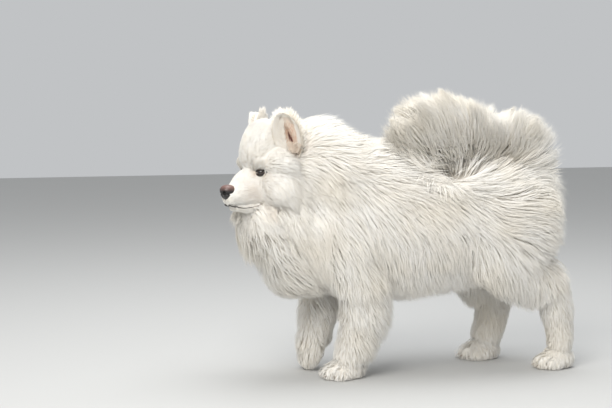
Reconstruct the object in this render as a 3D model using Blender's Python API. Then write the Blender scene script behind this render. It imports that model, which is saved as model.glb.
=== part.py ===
"""A Samoyed in mid-stride, as a still, life-size model.

It faces -X, with its left side towards -Y and +Z up, in metres. Its forms are fused from tubes and
rounded blobs, covered with flat, tapered locks of coat, and parted into named pieces by thin cuts.
"""
import math

import bmesh
import bpy
import numpy as np
from mathutils import Matrix, Vector
from mathutils.bvhtree import BVHTree

GAP = 0.0003                # left between two pieces that touch
RING_SIDES = 20             # points round a tube
TUBE_STEPS = 4              # rings between two stations of a tube
CAP_BULGE = 0.6             # how far a tube's round end stands out, as a share of its half width
CORE = 0.5                  # the share of the coat's depth that lies outside the core
BODY_VOXEL = 0.008
BODY_TRIANGLES = 1700
HEAD_VOXEL = 0.0032
HEAD_TRIANGLES = 1600
PAW_VOXEL = 0.0035
PAW_TRIANGLES = 170
TAIL_TRIANGLES = 220
UNION_TRIANGLES = 10800     # kept of the union, whose slivers go first
EYE_SEGMENTS = 14
LID_STEPS = 18              # points round a lid's opening
LOCK_SPACING = 0.061
PLUME_SPACING = 0.045
HEAD_LOCK_SPACING = 0.034

# Stations of a tube: x, y, z, half width across Y, half depth, depth of the coat inside that outline.
TRUNK = (
    (-0.175, -0.006, 0.360, 0.075, 0.100, 0.040),
    (-0.130, -0.004, 0.370, 0.128, 0.168, 0.055),
    (-0.060, -0.002, 0.385, 0.152, 0.197, 0.060),
    (0.030, 0.000, 0.392, 0.160, 0.208, 0.062),
    (0.120, 0.000, 0.377, 0.163, 0.203, 0.060),
    (0.220, 0.000, 0.376, 0.160, 0.190, 0.058),
    (0.320, 0.000, 0.385, 0.156, 0.173, 0.056),
    (0.400, 0.000, 0.398, 0.156, 0.156, 0.054),
    (0.455, 0.000, 0.398, 0.146, 0.138, 0.052),
    (0.500, 0.000, 0.385, 0.118, 0.108, 0.048),
)
NECK = (
    (0.010, 0.000, 0.445, 0.140, 0.155, 0.060),
    (-0.050, -0.004, 0.486, 0.150, 0.156, 0.065),
    (-0.100, -0.014, 0.512, 0.142, 0.146, 0.062),
    (-0.128, -0.024, 0.524, 0.118, 0.122, 0.050),
)
BIB = (
    (-0.192, -0.030, 0.426, 0.098, 0.084, 0.045),
    (-0.194, -0.022, 0.395, 0.116, 0.092, 0.060),
    (-0.150, -0.010, 0.330, 0.118, 0.085, 0.060),
    (-0.110, -0.004, 0.254, 0.105, 0.084, 0.055),
)
LEFT_FORE = (
    (-0.010, -0.090, 0.380, 0.065, 0.090, 0.050),
    (0.020, -0.086, 0.270, 0.058, 0.078, 0.045),
    (0.044, -0.078, 0.200, 0.046, 0.058, 0.020),
    (0.040, -0.068, 0.140, 0.038, 0.047, 0.010),
    (0.028, -0.060, 0.085, 0.033, 0.040, 0.004),
    (0.010, -0.058, 0.045, 0.031, 0.034, 0.002),
)
RIGHT_FORE = (
    (-0.010, 0.090, 0.380, 0.065, 0.090, 0.050),
    (0.000, 0.086, 0.280, 0.058, 0.075, 0.045),
    (-0.006, 0.080, 0.210, 0.046, 0.055, 0.020),
    (-0.024, 0.074, 0.150, 0.038, 0.043, 0.010),
    (-0.036, 0.070, 0.105, 0.033, 0.036, 0.004),
    (-0.030, 0.070, 0.076, 0.030, 0.031, 0.002),
)
LEFT_HIND = (
    (0.410, -0.075, 0.420, 0.080, 0.145, 0.050),
    (0.415, -0.090, 0.325, 0.076, 0.145, 0.050),
    (0.458, -0.086, 0.252, 0.058, 0.088, 0.045),
    (0.528, -0.078, 0.215, 0.041, 0.052, 0.020),
    (0.552, -0.074, 0.160, 0.033, 0.040, 0.008),
    (0.566, -0.071, 0.090, 0.029, 0.033, 0.003),
    (0.566, -0.070, 0.050, 0.028, 0.030, 0.002),
)
RIGHT_HIND = (
    (0.410, 0.075, 0.420, 0.080, 0.145, 0.050),
    (0.390, 0.092, 0.320, 0.076, 0.125, 0.050),
    (0.404, 0.092, 0.240, 0.058, 0.085, 0.040),
    (0.446, 0.092, 0.165, 0.042, 0.053, 0.016),
    (0.446, 0.092, 0.110, 0.034, 0.041, 0.006),
    (0.430, 0.092, 0.055, 0.031, 0.036, 0.002),
)
TAIL = (
    (0.460, 0.000, 0.460, 0.040, 0.040, 0.010),
    (0.472, -0.002, 0.520, 0.078, 0.068, 0.045),
    (0.438, -0.008, 0.566, 0.094, 0.084, 0.060),
    (0.362, -0.018, 0.578, 0.110, 0.096, 0.075),
    (0.280, -0.030, 0.590, 0.108, 0.100, 0.078),
    (0.222, -0.038, 0.592, 0.092, 0.088, 0.062),
    (0.186, -0.044, 0.588, 0.058, 0.056, 0.035),
)
PLUME_CENTRE = Vector((0.320, -0.020, 0.520))

# The head's own frame: x forward, y to its left, z up, from the middle between the eyes.
HEAD_PLACE = Vector((-0.221, -0.047, 0.512))
HEAD_TURN = math.radians(20.0)      # towards the animal's left
MUZZLE = (
    (-0.015, 0.0, -0.036, 0.050, 0.054, 0.006),
    (0.020, 0.0, -0.043, 0.041, 0.047, 0.005),
    (0.050, 0.0, -0.054, 0.032, 0.035, 0.004),
    (0.072, 0.0, -0.0585, 0.026, 0.0235, 0.003),
)
JAW = (
    (-0.034, 0.0, -0.078, 0.040, 0.026, 0.006),
    (0.026, 0.0, -0.087, 0.026, 0.014, 0.003),
    (0.060, 0.0, -0.087, 0.019, 0.010, 0.002),
)
# Rounded forms of the head: x, y, z, half length, half width, half height, coat. Pairs have a y.
HEAD_BLOBS = (
    (-0.052, 0.000, 0.036, 0.102, 0.073, 0.098, 0.008),
    (-0.018, 0.000, 0.083, 0.054, 0.046, 0.053, 0.008),
    (0.000, 0.029, 0.019, 0.027, 0.025, 0.019, 0.004),
    (-0.028, 0.058, 0.034, 0.038, 0.034, 0.036, 0.006),
    (-0.012, 0.028, -0.004, 0.022, 0.023, 0.019, 0.003),
    (-0.018, 0.034, -0.036, 0.038, 0.027, 0.038, 0.004),
    (-0.074, 0.062, -0.016, 0.070, 0.058, 0.084, 0.034),
    (-0.044, 0.074, -0.006, 0.046, 0.047, 0.062, 0.020),
)
NOSE = (0.080, 0.0, -0.0485)
NOSE_SIZE = (0.0165, 0.0185, 0.0185)
NOSTRIL = (0.0945, 0.0088, -0.0500)
NOSTRIL_SIZE = (0.008, 0.0035, 0.0045)
EYE_PLACE = (0.001, 0.0355, -0.003)
EYE_RADIUS = 0.0115
EYE_LOOK = (0.86, 0.50, 0.02)       # outward from the left eye
EYE_HALF_LENGTH = 0.0120
EYE_HALF_HEIGHT = 0.0062
LID_THICK = 0.0022
# Half length, half height and half depth of the hollow round the eye, and how far out it lies.
EYE_HOLLOW = (0.0200, 0.0140, 0.0125)
EYE_HOLLOW_OUT = 0.0180
LID_REACH = math.radians(84)
MOUTH_GAP = 0.0022
MOUTH_DEEP = 0.007
# The lips' meeting line on the left, from the front to the corner: x, y, z.
MOUTH_LINE = (
    (0.086, 0.000, -0.0750), (0.082, 0.012, -0.0780), (0.070, 0.022, -0.0840), (0.050, 0.030, -0.0880),
    (0.022, 0.038, -0.0860), (-0.004, 0.046, -0.0770),
)
EAR_BASE = (-0.060, 0.063, 0.060)
EAR_TIP = (-0.047, 0.056, 0.150)
EAR_FACING = math.radians(42)       # outward from straight ahead
EAR_HALF_WIDTH = 0.034
EAR_HOLLOW = 0.016
EAR_THICK = 0.007
EAR_ROUND = 0.30            # where along its length the ear starts to narrow
EAR_ROWS = 7
EAR_COLUMNS = 8

PAW_BLOBS = (
    (-0.012, 0.000, 0.024, 0.040, 0.033, 0.030),
    (0.026, 0.0115, 0.015, 0.024, 0.0130, 0.018),
    (0.026, -0.0115, 0.015, 0.024, 0.0130, 0.018),
    (0.012, 0.027, 0.013, 0.022, 0.0120, 0.016),
    (0.012, -0.027, 0.013, 0.022, 0.0120, 0.016),
)
# Claws: where they leave the paw, along it and across it.
CLAWS = ((0.046, 0.0120), (0.046, -0.0120), (0.031, 0.0280), (0.031, -0.0280))
CLAW_LENGTH = 0.011
# Where each paw's middle stands, how far its toes dip, and how far it turns out, in degrees.
PAWS = {
    "left_fore_paw": ((-0.002, -0.056, 0.000), 0.0, 5.0),
    "right_fore_paw": ((-0.028, 0.070, 0.052), 62.0, 0.0),
    "left_hind_paw": ((0.550, -0.070, 0.000), 0.0, 4.0),
    "right_hind_paw": ((0.412, 0.094, 0.000), 0.0, -4.0),
}

# How the coat lies, on the left side and along the middle: where, which way, length, lift in degrees.
COAT = (
    ((-0.080, 0.000, 0.620), (1.0, 0.0, 0.25), 0.095, 32),
    ((0.030, 0.000, 0.590), (1.0, 0.0, 0.0), 0.105, 25),
    ((0.200, 0.000, 0.560), (1.0, 0.0, -0.05), 0.100, 17),
    ((0.400, 0.000, 0.550), (1.0, 0.0, 0.0), 0.085, 18),
    ((0.500, 0.000, 0.480), (1.0, 0.0, -0.4), 0.085, 28),
    ((-0.080, -0.130, 0.550), (0.8, -0.1, -0.6), 0.125, 25),
    ((-0.070, -0.150, 0.460), (0.6, 0.0, -1.0), 0.135, 26),
    ((-0.080, -0.140, 0.360), (0.45, 0.0, -1.0), 0.130, 25),
    ((-0.230, -0.030, 0.420), (0.1, 0.0, -1.0), 0.100, 26),
    ((-0.200, -0.030, 0.320), (0.5, 0.0, -1.0), 0.095, 24),
    ((-0.100, -0.050, 0.220), (0.9, 0.0, -0.6), 0.080, 26),
    ((0.000, -0.150, 0.420), (0.6, 0.0, -1.0), 0.130, 24),
    ((0.020, -0.140, 0.300), (0.35, 0.0, -1.0), 0.100, 26),
    ((0.150, -0.140, 0.480), (1.0, 0.0, -0.35), 0.125, 21),
    ((0.150, -0.160, 0.400), (0.8, 0.0, -0.8), 0.130, 22),
    ((0.150, -0.150, 0.290), (0.25, 0.0, -1.0), 0.115, 26),
    ((0.200, -0.040, 0.200), (0.4, 0.0, -1.0), 0.070, 30),
    ((0.320, -0.130, 0.480), (1.0, 0.0, -0.2), 0.125, 21),
    ((0.300, -0.155, 0.400), (0.8, 0.0, -0.7), 0.130, 22),
    ((0.300, -0.150, 0.290), (0.25, 0.0, -1.0), 0.095, 26),
    ((0.430, -0.120, 0.480), (1.0, 0.0, 0.05), 0.115, 24),
    ((0.420, -0.160, 0.380), (1.0, 0.0, -0.15), 0.125, 22),
    ((0.370, -0.150, 0.280), (0.5, 0.0, -1.0), 0.095, 24),
    ((0.500, -0.100, 0.320), (1.0, 0.0, -0.5), 0.080, 28),
    ((0.510, -0.020, 0.400), (0.6, 0.0, -0.8), 0.085, 28),
    ((0.460, -0.120, 0.250), (0.6, 0.0, -1.0), 0.085, 26),
    ((0.550, -0.070, 0.180), (0.4, 0.0, -1.0), 0.045, 20),
    ((0.430, -0.100, 0.120), (0.1, 0.0, -1.0), 0.035, 15),
    ((0.030, -0.110, 0.200), (0.2, 0.0, -1.0), 0.060, 22),
    ((0.020, -0.070, 0.110), (0.1, 0.0, -1.0), 0.035, 15),
    ((0.090, -0.070, 0.150), (0.7, 0.0, -1.0), 0.065, 34),
)
# The same for the head, in its own frame.
HEAD_COAT = (
    ((0.000, 0.000, 0.100), (-0.5, 0.0, 1.0), 0.035, 30),
    ((-0.060, 0.000, 0.130), (-1.0, 0.0, 0.4), 0.055, 36),
    ((-0.120, 0.000, 0.110), (-1.0, 0.0, 0.1), 0.070, 36),
    ((-0.020, 0.080, 0.050), (-1.0, 0.3, 0.0), 0.060, 24),
    ((-0.050, 0.110, 0.010), (-1.0, 0.3, -0.4), 0.080, 28),
    ((-0.030, 0.090, -0.050), (-0.8, 0.2, -0.8), 0.085, 25),
    ((-0.060, 0.090, -0.090), (-0.6, 0.1, -1.0), 0.085, 26),
    ((-0.040, 0.000, -0.100), (-0.4, 0.0, -1.0), 0.060, 28),
)
TAIL_HAIR = (0.074, 50)
# Rings of a lock: the share of its length, of its full height above the core, and of its widths.
LOCK_RINGS = ((0.0, 0.0, 0.70, 0.9), (0.34, 0.62, 1.0, 1.0), (0.68, 0.95, 0.64, 0.7), (1.0, 1.0, 0.0, 0.0))
LOCK_ROOT = 0.013           # how deep its root is sunk
LOCK_FLATNESS = 0.34

# Cuts, each an outline in X and Z run from one Y to another. The piece inside it is parted off.
TAIL_CUT = (((0.050, 0.590), (0.300, 0.545), (0.440, 0.532), (0.500, 0.500), (0.700, 0.500), (0.700, 0.900),
             (0.050, 0.900)), -0.3, 0.3)
TAIL_MIDDLE_CUT = (((0.405, 0.400), (0.405, 0.900), (-0.100, 0.900), (-0.100, 0.400)), -0.3, 0.3)
TAIL_TIP_CUT = (((0.270, 0.400), (0.270, 0.900), (-0.100, 0.900), (-0.100, 0.400)), -0.3, 0.3)
HEAD_CUT = (((-0.115, 0.300), (-0.092, -0.060), (-0.050, -0.102), (0.300, -0.112), (0.300, 0.300)), -0.2, 0.2)
# This one's outline is in the head's Y and Z, run from one X to another.
EAR_CUT = (((0.034, 0.220), (0.037, 0.130), (0.080, 0.066), (0.120, 0.048), (0.160, 0.048), (0.160, 0.220)),
           0.005, 0.140)
NECK_CUT = (((0.060, 0.750), (0.030, 0.600), (-0.240, 0.290), (-0.500, 0.290), (-0.500, 0.750)), -0.3, 0.3)
LEG_CUTS = {
    "left_fore_leg": (((-0.060, 0.205), (0.030, 0.225), (0.110, 0.198), (0.110, -0.1), (-0.060, -0.1)),
                      -0.3, -0.020),
    "right_fore_leg": (((-0.110, 0.205), (-0.010, 0.225), (0.060, 0.200), (0.060, -0.1), (-0.110, -0.1)),
                       0.020, 0.3),
    "left_hind_leg": (((0.380, 0.170), (0.420, 0.235), (0.700, 0.340), (0.700, -0.1), (0.380, -0.1)),
                      -0.3, -0.022),
    "right_hind_leg": (((0.330, 0.190), (0.380, 0.235), (0.700, 0.340), (0.700, -0.1), (0.330, -0.1)),
                       0.022, 0.3),
}
PAW_CUTS = {
    "left_fore_leg": ("left_fore_paw", ((-0.100, 0.052), (0.100, 0.044), (0.100, -0.1), (-0.100, -0.1))),
    "right_fore_leg": ("right_fore_paw", ((-0.120, 0.056), (0.050, 0.106), (0.050, -0.1), (-0.120, -0.1))),
    "left_hind_leg": ("left_hind_paw", ((0.450, 0.052), (0.700, 0.048), (0.700, -0.1), (0.450, -0.1))),
    "right_hind_leg": ("right_hind_paw", ((0.300, 0.052), (0.560, 0.048), (0.560, -0.1), (0.300, -0.1))),
}

# Materials: colour, roughness, metallic.
FINISHES = {
    "white_coat": ((0.86, 0.83, 0.77, 1.0), 0.80, 0.0),
    "ear_coat": ((0.84, 0.78, 0.68, 1.0), 0.80, 0.0),
    "dark_eye": ((0.035, 0.018, 0.010, 1.0), 0.08, 0.0),
    "nose_leather": ((0.055, 0.030, 0.030, 1.0), 0.42, 0.0),
}


def clear_scene():
    for old in list(bpy.data.objects):
        bpy.data.objects.remove(old)


def mesh_object(name, points, faces):
    mesh = bpy.data.meshes.new(name)
    mesh.from_pydata([tuple(p) for p in points], [], faces)
    made = bpy.data.objects.new(name, mesh)
    bpy.context.scene.collection.objects.link(made)
    shape = bmesh.new()
    shape.from_mesh(mesh)
    bmesh.ops.recalc_face_normals(shape, faces=shape.faces)
    shape.to_mesh(mesh)
    shape.free()
    return made


def head_matrix():
    return Matrix.Translation(HEAD_PLACE) @ Matrix.Rotation(math.pi + HEAD_TURN, 4, "Z")


def mirrored(place, sign):
    return (place[0], place[1] * sign, place[2])


def smooth_stations(stations):
    """The stations with more between them, on a Catmull-Rom curve."""
    rows = np.array(stations, float)
    ends = np.vstack([2 * rows[0] - rows[1], rows, 2 * rows[-1] - rows[-2]])
    fine = []
    for i in range(1, len(ends) - 2):
        p0, p1, p2, p3 = ends[i - 1:i + 3]
        for t in np.arange(TUBE_STEPS) / TUBE_STEPS:
            fine.append(0.5 * (2 * p1 + (p2 - p0) * t + (2 * p0 - 5 * p1 + 4 * p2 - p3) * t * t
                               + (3 * p1 - p0 - 3 * p2 + p3) * t ** 3))
    fine.append(ends[-2])
    return np.array(fine)


def tube(name, stations, inside):
    """A closed tube with round ends, drawn in by a share of the coat's depth."""
    rows = smooth_stations(stations)
    middle = rows[:, :3]
    wide = rows[:, 3] - inside * rows[:, 5]
    deep = rows[:, 4] - inside * rows[:, 5]
    along = np.gradient(middle, axis=0)
    along /= np.linalg.norm(along, axis=1)[:, None]
    side = np.array([0, 1.0, 0]) - along * along[:, 1:2]
    side /= np.linalg.norm(side, axis=1)[:, None]
    front = np.cross(along, side)
    rings = [(middle[i], wide[i], deep[i], i) for i in range(len(rows))]
    for end, sign in ((0, -1), (len(rows) - 1, 1)):
        cap = []
        for angle in (25, 50, 75):
            shrink = math.cos(math.radians(angle))
            push = math.sin(math.radians(angle)) * min(wide[end], deep[end]) * CAP_BULGE
            cap.append((middle[end] + sign * push * along[end], wide[end] * shrink, deep[end] * shrink, end))
        rings = cap[::-1] + rings if sign < 0 else rings + cap
    points, faces = [], []
    for centre, a, b, i in rings:
        for j in range(RING_SIDES):
            angle = j * 2 * math.pi / RING_SIDES
            points.append(centre + side[i] * a * math.cos(angle) + front[i] * b * math.sin(angle))
    for k in range(len(rings) - 1):
        for j in range(RING_SIDES):
            n = (j + 1) % RING_SIDES
            faces.append((k * RING_SIDES + j, k * RING_SIDES + n,
                          (k + 1) * RING_SIDES + n, (k + 1) * RING_SIDES + j))
    faces.append(tuple(range(RING_SIDES)))
    faces.append(tuple((len(rings) - 1) * RING_SIDES + j for j in range(RING_SIDES)))
    return mesh_object(name, points, faces)


def blob(name, place, radii, segments=20, rings=12):
    shape = bmesh.new()
    bmesh.ops.create_uvsphere(shape, u_segments=segments, v_segments=rings, radius=1.0)
    stretch = Matrix.Translation(place) @ Matrix.Diagonal((*radii, 1))
    bmesh.ops.transform(shape, matrix=stretch, verts=shape.verts)
    mesh = bpy.data.meshes.new(name)
    shape.to_mesh(mesh)
    shape.free()
    made = bpy.data.objects.new(name, mesh)
    bpy.context.scene.collection.objects.link(made)
    return made


def prism(name, outline, low, high, grow, matrix=None):
    """A convex outline in X and Z run across Y, grown on every side."""
    corners = [np.array(p, float) for p in outline]
    area = sum(a[0] * b[1] - b[0] * a[1] for a, b in zip(corners, corners[1:] + corners[:1]))
    if area < 0:
        corners.reverse()
    lines = []
    for a, b in zip(corners, corners[1:] + corners[:1]):
        way = (b - a) / np.linalg.norm(b - a)
        out = np.array((way[1], -way[0]))
        lines.append((out, out @ a + grow))
    grown = []
    for first, second in zip(lines[-1:] + lines[:-1], lines):
        grown.append(np.linalg.solve(np.array((first[0], second[0])), np.array((first[1], second[1]))))
    count = len(grown)
    points = [(p[0], y, p[1]) for y in (low - grow, high + grow) for p in grown]
    faces = [tuple(range(count)), tuple(range(count, 2 * count))]
    for j in range(count):
        n = (j + 1) % count
        faces.append((j, n, count + n, count + j))
    made = mesh_object(name, points, faces)
    if matrix is not None:
        made.data.transform(matrix)
        if matrix.determinant() < 0:
            made.data.flip_normals()
    return made


def freeze(made):
    """Replaces an object's mesh with what its modifiers make of it."""
    graph = bpy.context.evaluated_depsgraph_get()
    mesh = bpy.data.meshes.new_from_object(made.evaluated_get(graph))
    made.modifiers.clear()
    old = made.data
    made.data = mesh
    bpy.data.meshes.remove(old)
    return made


def join(name, pieces):
    shape = bmesh.new()
    for piece in pieces:
        shape.from_mesh(piece.data)
    mesh = bpy.data.meshes.new(name)
    shape.to_mesh(mesh)
    shape.free()
    for piece in pieces:
        bpy.data.objects.remove(piece)
    made = bpy.data.objects.new(name, mesh)
    bpy.context.scene.collection.objects.link(made)
    return made


def triangle_count(made):
    return sum(len(face.vertices) - 2 for face in made.data.polygons)


def melt(made, voxel, smoothing, triangles):
    """Runs overlapping forms into one smooth skin of about that many triangles."""
    remesh = made.modifiers.new("Remesh", "REMESH")
    remesh.mode = "VOXEL"
    remesh.voxel_size = voxel
    soften = made.modifiers.new("Smooth", "SMOOTH")
    soften.iterations = smoothing
    soften.factor = 0.5
    return thin_out(freeze(made), triangles)


def thin_out(made, triangles):
    """Collapses the least needed edges until about that many triangles are left."""
    fewer = made.modifiers.new("Decimate", "DECIMATE")
    fewer.ratio = min(1.0, triangles / triangle_count(made))
    fewer.use_collapse_triangulate = True
    return freeze(made)


def combine(made, others, operation):
    """One Boolean of an object with several closed ones, which are then removed."""
    group = bpy.data.collections.new("operands")
    bpy.context.scene.collection.children.link(group)
    for other in others:
        group.objects.link(other)
    change = made.modifiers.new("Boolean", "BOOLEAN")
    change.operation = operation
    change.operand_type = "COLLECTION"
    change.collection = group
    change.solver = "MANIFOLD"
    freeze(made)
    for other in others:
        bpy.data.objects.remove(other)
    bpy.data.collections.remove(group)
    return made


def copy_of(made, name):
    twin = bpy.data.objects.new(name, made.data.copy())
    bpy.context.scene.collection.objects.link(twin)
    return twin


def largest_surface(made):
    """Keeps only the surface of the largest volume, so that no scrap and no sealed hollow is left."""
    shape = bmesh.new()
    shape.from_mesh(made.data)
    bmesh.ops.triangulate(shape, faces=shape.faces)
    shape.faces.ensure_lookup_table()
    seen = set()
    groups = []
    for face in shape.faces:
        if face.index in seen:
            continue
        group, stack = [], [face]
        seen.add(face.index)
        while stack:
            here = stack.pop()
            group.append(here)
            for edge in here.edges:
                for other in edge.link_faces:
                    if other.index not in seen:
                        seen.add(other.index)
                        stack.append(other)
        volume = sum(f.verts[0].co.dot(f.verts[1].co.cross(f.verts[2].co)) for f in group) / 6
        groups.append((volume, group))
    groups.sort(key=lambda pair: pair[0])
    extra = [face for _, group in groups[:-1] for face in group]
    bmesh.ops.delete(shape, geom=extra, context="FACES")
    loose = [v for v in shape.verts if not v.link_faces]
    bmesh.ops.delete(shape, geom=loose, context="VERTS")
    shape.to_mesh(made.data)
    shape.free()
    return made


def part_off(rest, name, cut, matrix=None):
    """Parts the piece inside a cut off the rest, a thin gap between the two."""
    outline, low, high = cut
    piece = copy_of(rest, name)
    combine(piece, [prism("cutter", outline, low, high, -GAP / 2, matrix)], "INTERSECT")
    combine(rest, [prism("cutter", outline, low, high, GAP / 2, matrix)], "DIFFERENCE")
    return largest_surface(piece)


def guide_rows(table):
    """A table of the coat's lie with its mirror image across the middle."""
    rows = []
    for place, way, length, lift in table:
        unit = Vector(way).normalized()
        for sign in (1, -1) if abs(place[1]) > 1e-6 else (1,):
            rows.append((place[0], place[1] * sign, place[2], unit.x, unit.y * sign, unit.z, length, lift))
    return np.array(rows)


def lie_from(rows, matrix=None):
    """A function that gives the coat's way, length and lift at a point."""
    back = matrix.inverted() if matrix is not None else None

    def lie(point):
        here = back @ Vector(point) if back is not None else Vector(point)
        apart = np.linalg.norm(rows[:, :3] - np.array(here), axis=1) + 0.01
        share = apart ** -4
        mixed = (share / share.sum()) @ rows[:, 3:]
        way = Vector(mixed[:3]).normalized()
        if matrix is not None:
            way = matrix.to_3x3() @ way
        return way, mixed[3], mixed[4]
    return lie


def plume_lie(point):
    """The tail's hair stands out from the plume's middle."""
    away = Vector(point) - PLUME_CENTRE
    away.y *= 0.7
    return away.normalized(), *TAIL_HAIR


def scattered(made, spacing, seed, wanted):
    """Points spread evenly over a surface, at least the spacing apart."""
    draw = np.random.default_rng(seed)
    mesh = made.data
    mesh.calc_loop_triangles()
    corners = np.array([[mesh.vertices[i].co for i in t.vertices] for t in mesh.loop_triangles])
    cross = np.cross(corners[:, 1] - corners[:, 0], corners[:, 2] - corners[:, 0])
    area = np.linalg.norm(cross, axis=1) / 2
    tries = int(area.sum() / spacing ** 2 * 30)
    chosen = draw.choice(len(area), tries, p=area / area.sum())
    u, v = draw.random(tries), draw.random(tries)
    flip = u + v > 1
    u[flip], v[flip] = 1 - u[flip], 1 - v[flip]
    spots = (corners[chosen, 0] + (corners[chosen, 1] - corners[chosen, 0]) * u[:, None]
             + (corners[chosen, 2] - corners[chosen, 0]) * v[:, None])
    kept = []
    for spot in spots:
        if not wanted(Vector(spot)):
            continue
        if kept and np.min(np.linalg.norm(np.array(kept) - spot, axis=1)) < spacing:
            continue
        kept.append(spot)
    return kept


def lock_path(tree, root, lie, scale):
    """The middle line of a lock: it leaves the core, bends over and lies along it."""
    spot, normal, _, _ = tree.find_nearest(Vector(root))
    way, length, lift = lie(spot)
    length *= scale
    height = length * math.sin(math.radians(lift)) * CORE
    path = [(spot - normal * LOCK_ROOT, normal.copy())]
    last = spot.copy()
    for before, ring in zip(LOCK_RINGS, LOCK_RINGS[1:]):
        step = length * (ring[0] - before[0])
        way = lie(last)[0]
        out = way.dot(normal)
        flat = way - normal * out
        if flat.length < 1e-4:
            flat = normal.orthogonal()
        along, new_normal, _, _ = tree.find_nearest(spot + flat.normalized() * step)
        lying = along + new_normal * height * ring[1]
        free = last + way * step
        share = min(max((out - 0.15) / 0.5, 0.0), 0.8)
        last = lying.lerp(free, share)
        spot, normal = along, (normal + new_normal).normalized()
        path.append((last.copy(), normal.copy()))
    return path


def lock(path, half_width):
    """A flat, tapered lock along a path, ridged along its outer face."""
    points, faces = [], []
    spots = [p for p, _ in path]
    half_thick = half_width * LOCK_FLATNESS
    for k in range(len(path) - 1):
        here, normal = path[k]
        along = (spots[k + 1] - spots[max(k - 1, 0)]).normalized()
        side = along.cross(normal)
        if side.length < 1e-3:
            side = along.orthogonal()
        side.normalize()
        up = side.cross(along).normalized()
        if up.dot(normal) < 0:
            up.negate()
        w = half_width * LOCK_RINGS[k][2]
        h = half_thick * LOCK_RINGS[k][3]
        points += [here - side * w - up * h * 0.5, here + up * h, here + side * w - up * h * 0.5]
    points.append(spots[-1])
    rings = len(path) - 1
    for k in range(rings - 1):
        for j in range(3):
            n = (j + 1) % 3
            faces.append((3 * k + j, 3 * k + n, 3 * k + 3 + n))
            faces.append((3 * k + j, 3 * k + 3 + n, 3 * k + 3 + j))
    for j in range(3):
        faces.append((3 * (rings - 1) + j, 3 * (rings - 1) + (j + 1) % 3, 3 * rings))
    faces.append((0, 1, 2))
    return mesh_object("lock", points, faces)


def locks_on(core, spacing, seed, lie, wanted, width):
    tree = BVHTree.FromPolygons([v.co for v in core.data.vertices], [p.vertices for p in core.data.polygons])
    draw = np.random.default_rng(seed + 1)
    made = []
    for root in scattered(core, spacing, seed, wanted):
        path = lock_path(tree, root, lie, draw.uniform(0.9, 1.12))
        made.append(lock(path, spacing * width * draw.uniform(0.88, 1.15)))
    return made


def make_body():
    pieces = [tube("form", stations, CORE) for stations in
              (TRUNK, NECK, BIB, LEFT_FORE, RIGHT_FORE, LEFT_HIND, RIGHT_HIND)]
    return melt(join("body", pieces), BODY_VOXEL, 5, BODY_TRIANGLES)


def make_tail():
    return melt(join("tail", [tube("form", TAIL, CORE)]), BODY_VOXEL, 3, TAIL_TRIANGLES)


def make_head():
    pieces = [tube("form", MUZZLE, CORE), tube("form", JAW, CORE)]
    for row in HEAD_BLOBS:
        for sign in (1, -1) if row[1] else (1,):
            pieces.append(blob("form", mirrored(row, sign), [r - CORE * row[6] for r in row[3:6]]))
    return melt(join("head", pieces), HEAD_VOXEL, 4, HEAD_TRIANGLES)


def make_paw(name):
    place, dip, out = PAWS[name]
    paw = join(name, [blob("form", row[:3], row[3:6]) for row in PAW_BLOBS])
    melt(paw, PAW_VOXEL, 2, PAW_TRIANGLES)
    combine(paw, [make_claw(x, y) for x, y in CLAWS], "UNION")
    turn = Matrix.Rotation(math.pi + math.radians(out), 4, "Z") @ Matrix.Rotation(math.radians(dip), 4, "Y")
    paw.data.transform(Matrix.Translation(place) @ turn)
    return paw


def make_claw(x, y):
    """A small curved claw that leaves the toe forward and down."""
    rings = ((-0.006, 0.0130, 0.0030), (0.004, 0.0125, 0.0026))
    points = []
    for ahead, up, r in rings:
        for j in range(4):
            angle = (j + 0.5) * math.pi / 2
            points.append((x + ahead, y + r * math.cos(angle), up + r * math.sin(angle)))
    points.append((x + CLAW_LENGTH, y, 0.0045))
    faces = [(0, 1, 2, 3), (4, 5, 8), (5, 6, 8), (6, 7, 8), (7, 4, 8)]
    faces += [(j, (j + 1) % 4, 4 + (j + 1) % 4, 4 + j) for j in range(4)]
    return mesh_object("claw", points, faces)


def eye_axes(sign):
    look = Vector(mirrored(EYE_LOOK, sign)).normalized()
    level = Vector((0, 0, 1)).cross(look).normalized()
    return look, level, look.cross(level).normalized()


def make_eye(name, sign):
    made = blob(name, (0, 0, 0), (EYE_RADIUS,) * 3, EYE_SEGMENTS, EYE_SEGMENTS - 6)
    look, level, upward = eye_axes(sign)
    turn = Matrix((level, upward, look)).transposed().to_4x4()
    made.data.transform(head_matrix() @ Matrix.Translation(mirrored(EYE_PLACE, sign)) @ turn)
    return made


def make_hollow(sign):
    """The shallow hollow in which the lids stand."""
    look, level, upward = eye_axes(sign)
    made = blob("hollow", (0, 0, 0), EYE_HOLLOW, 16, 10)
    place = Vector(mirrored(EYE_PLACE, sign)) + look * EYE_HOLLOW_OUT
    turn = Matrix((level, upward, look)).transposed().to_4x4()
    made.data.transform(head_matrix() @ Matrix.Translation(place) @ turn)
    return made


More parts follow.
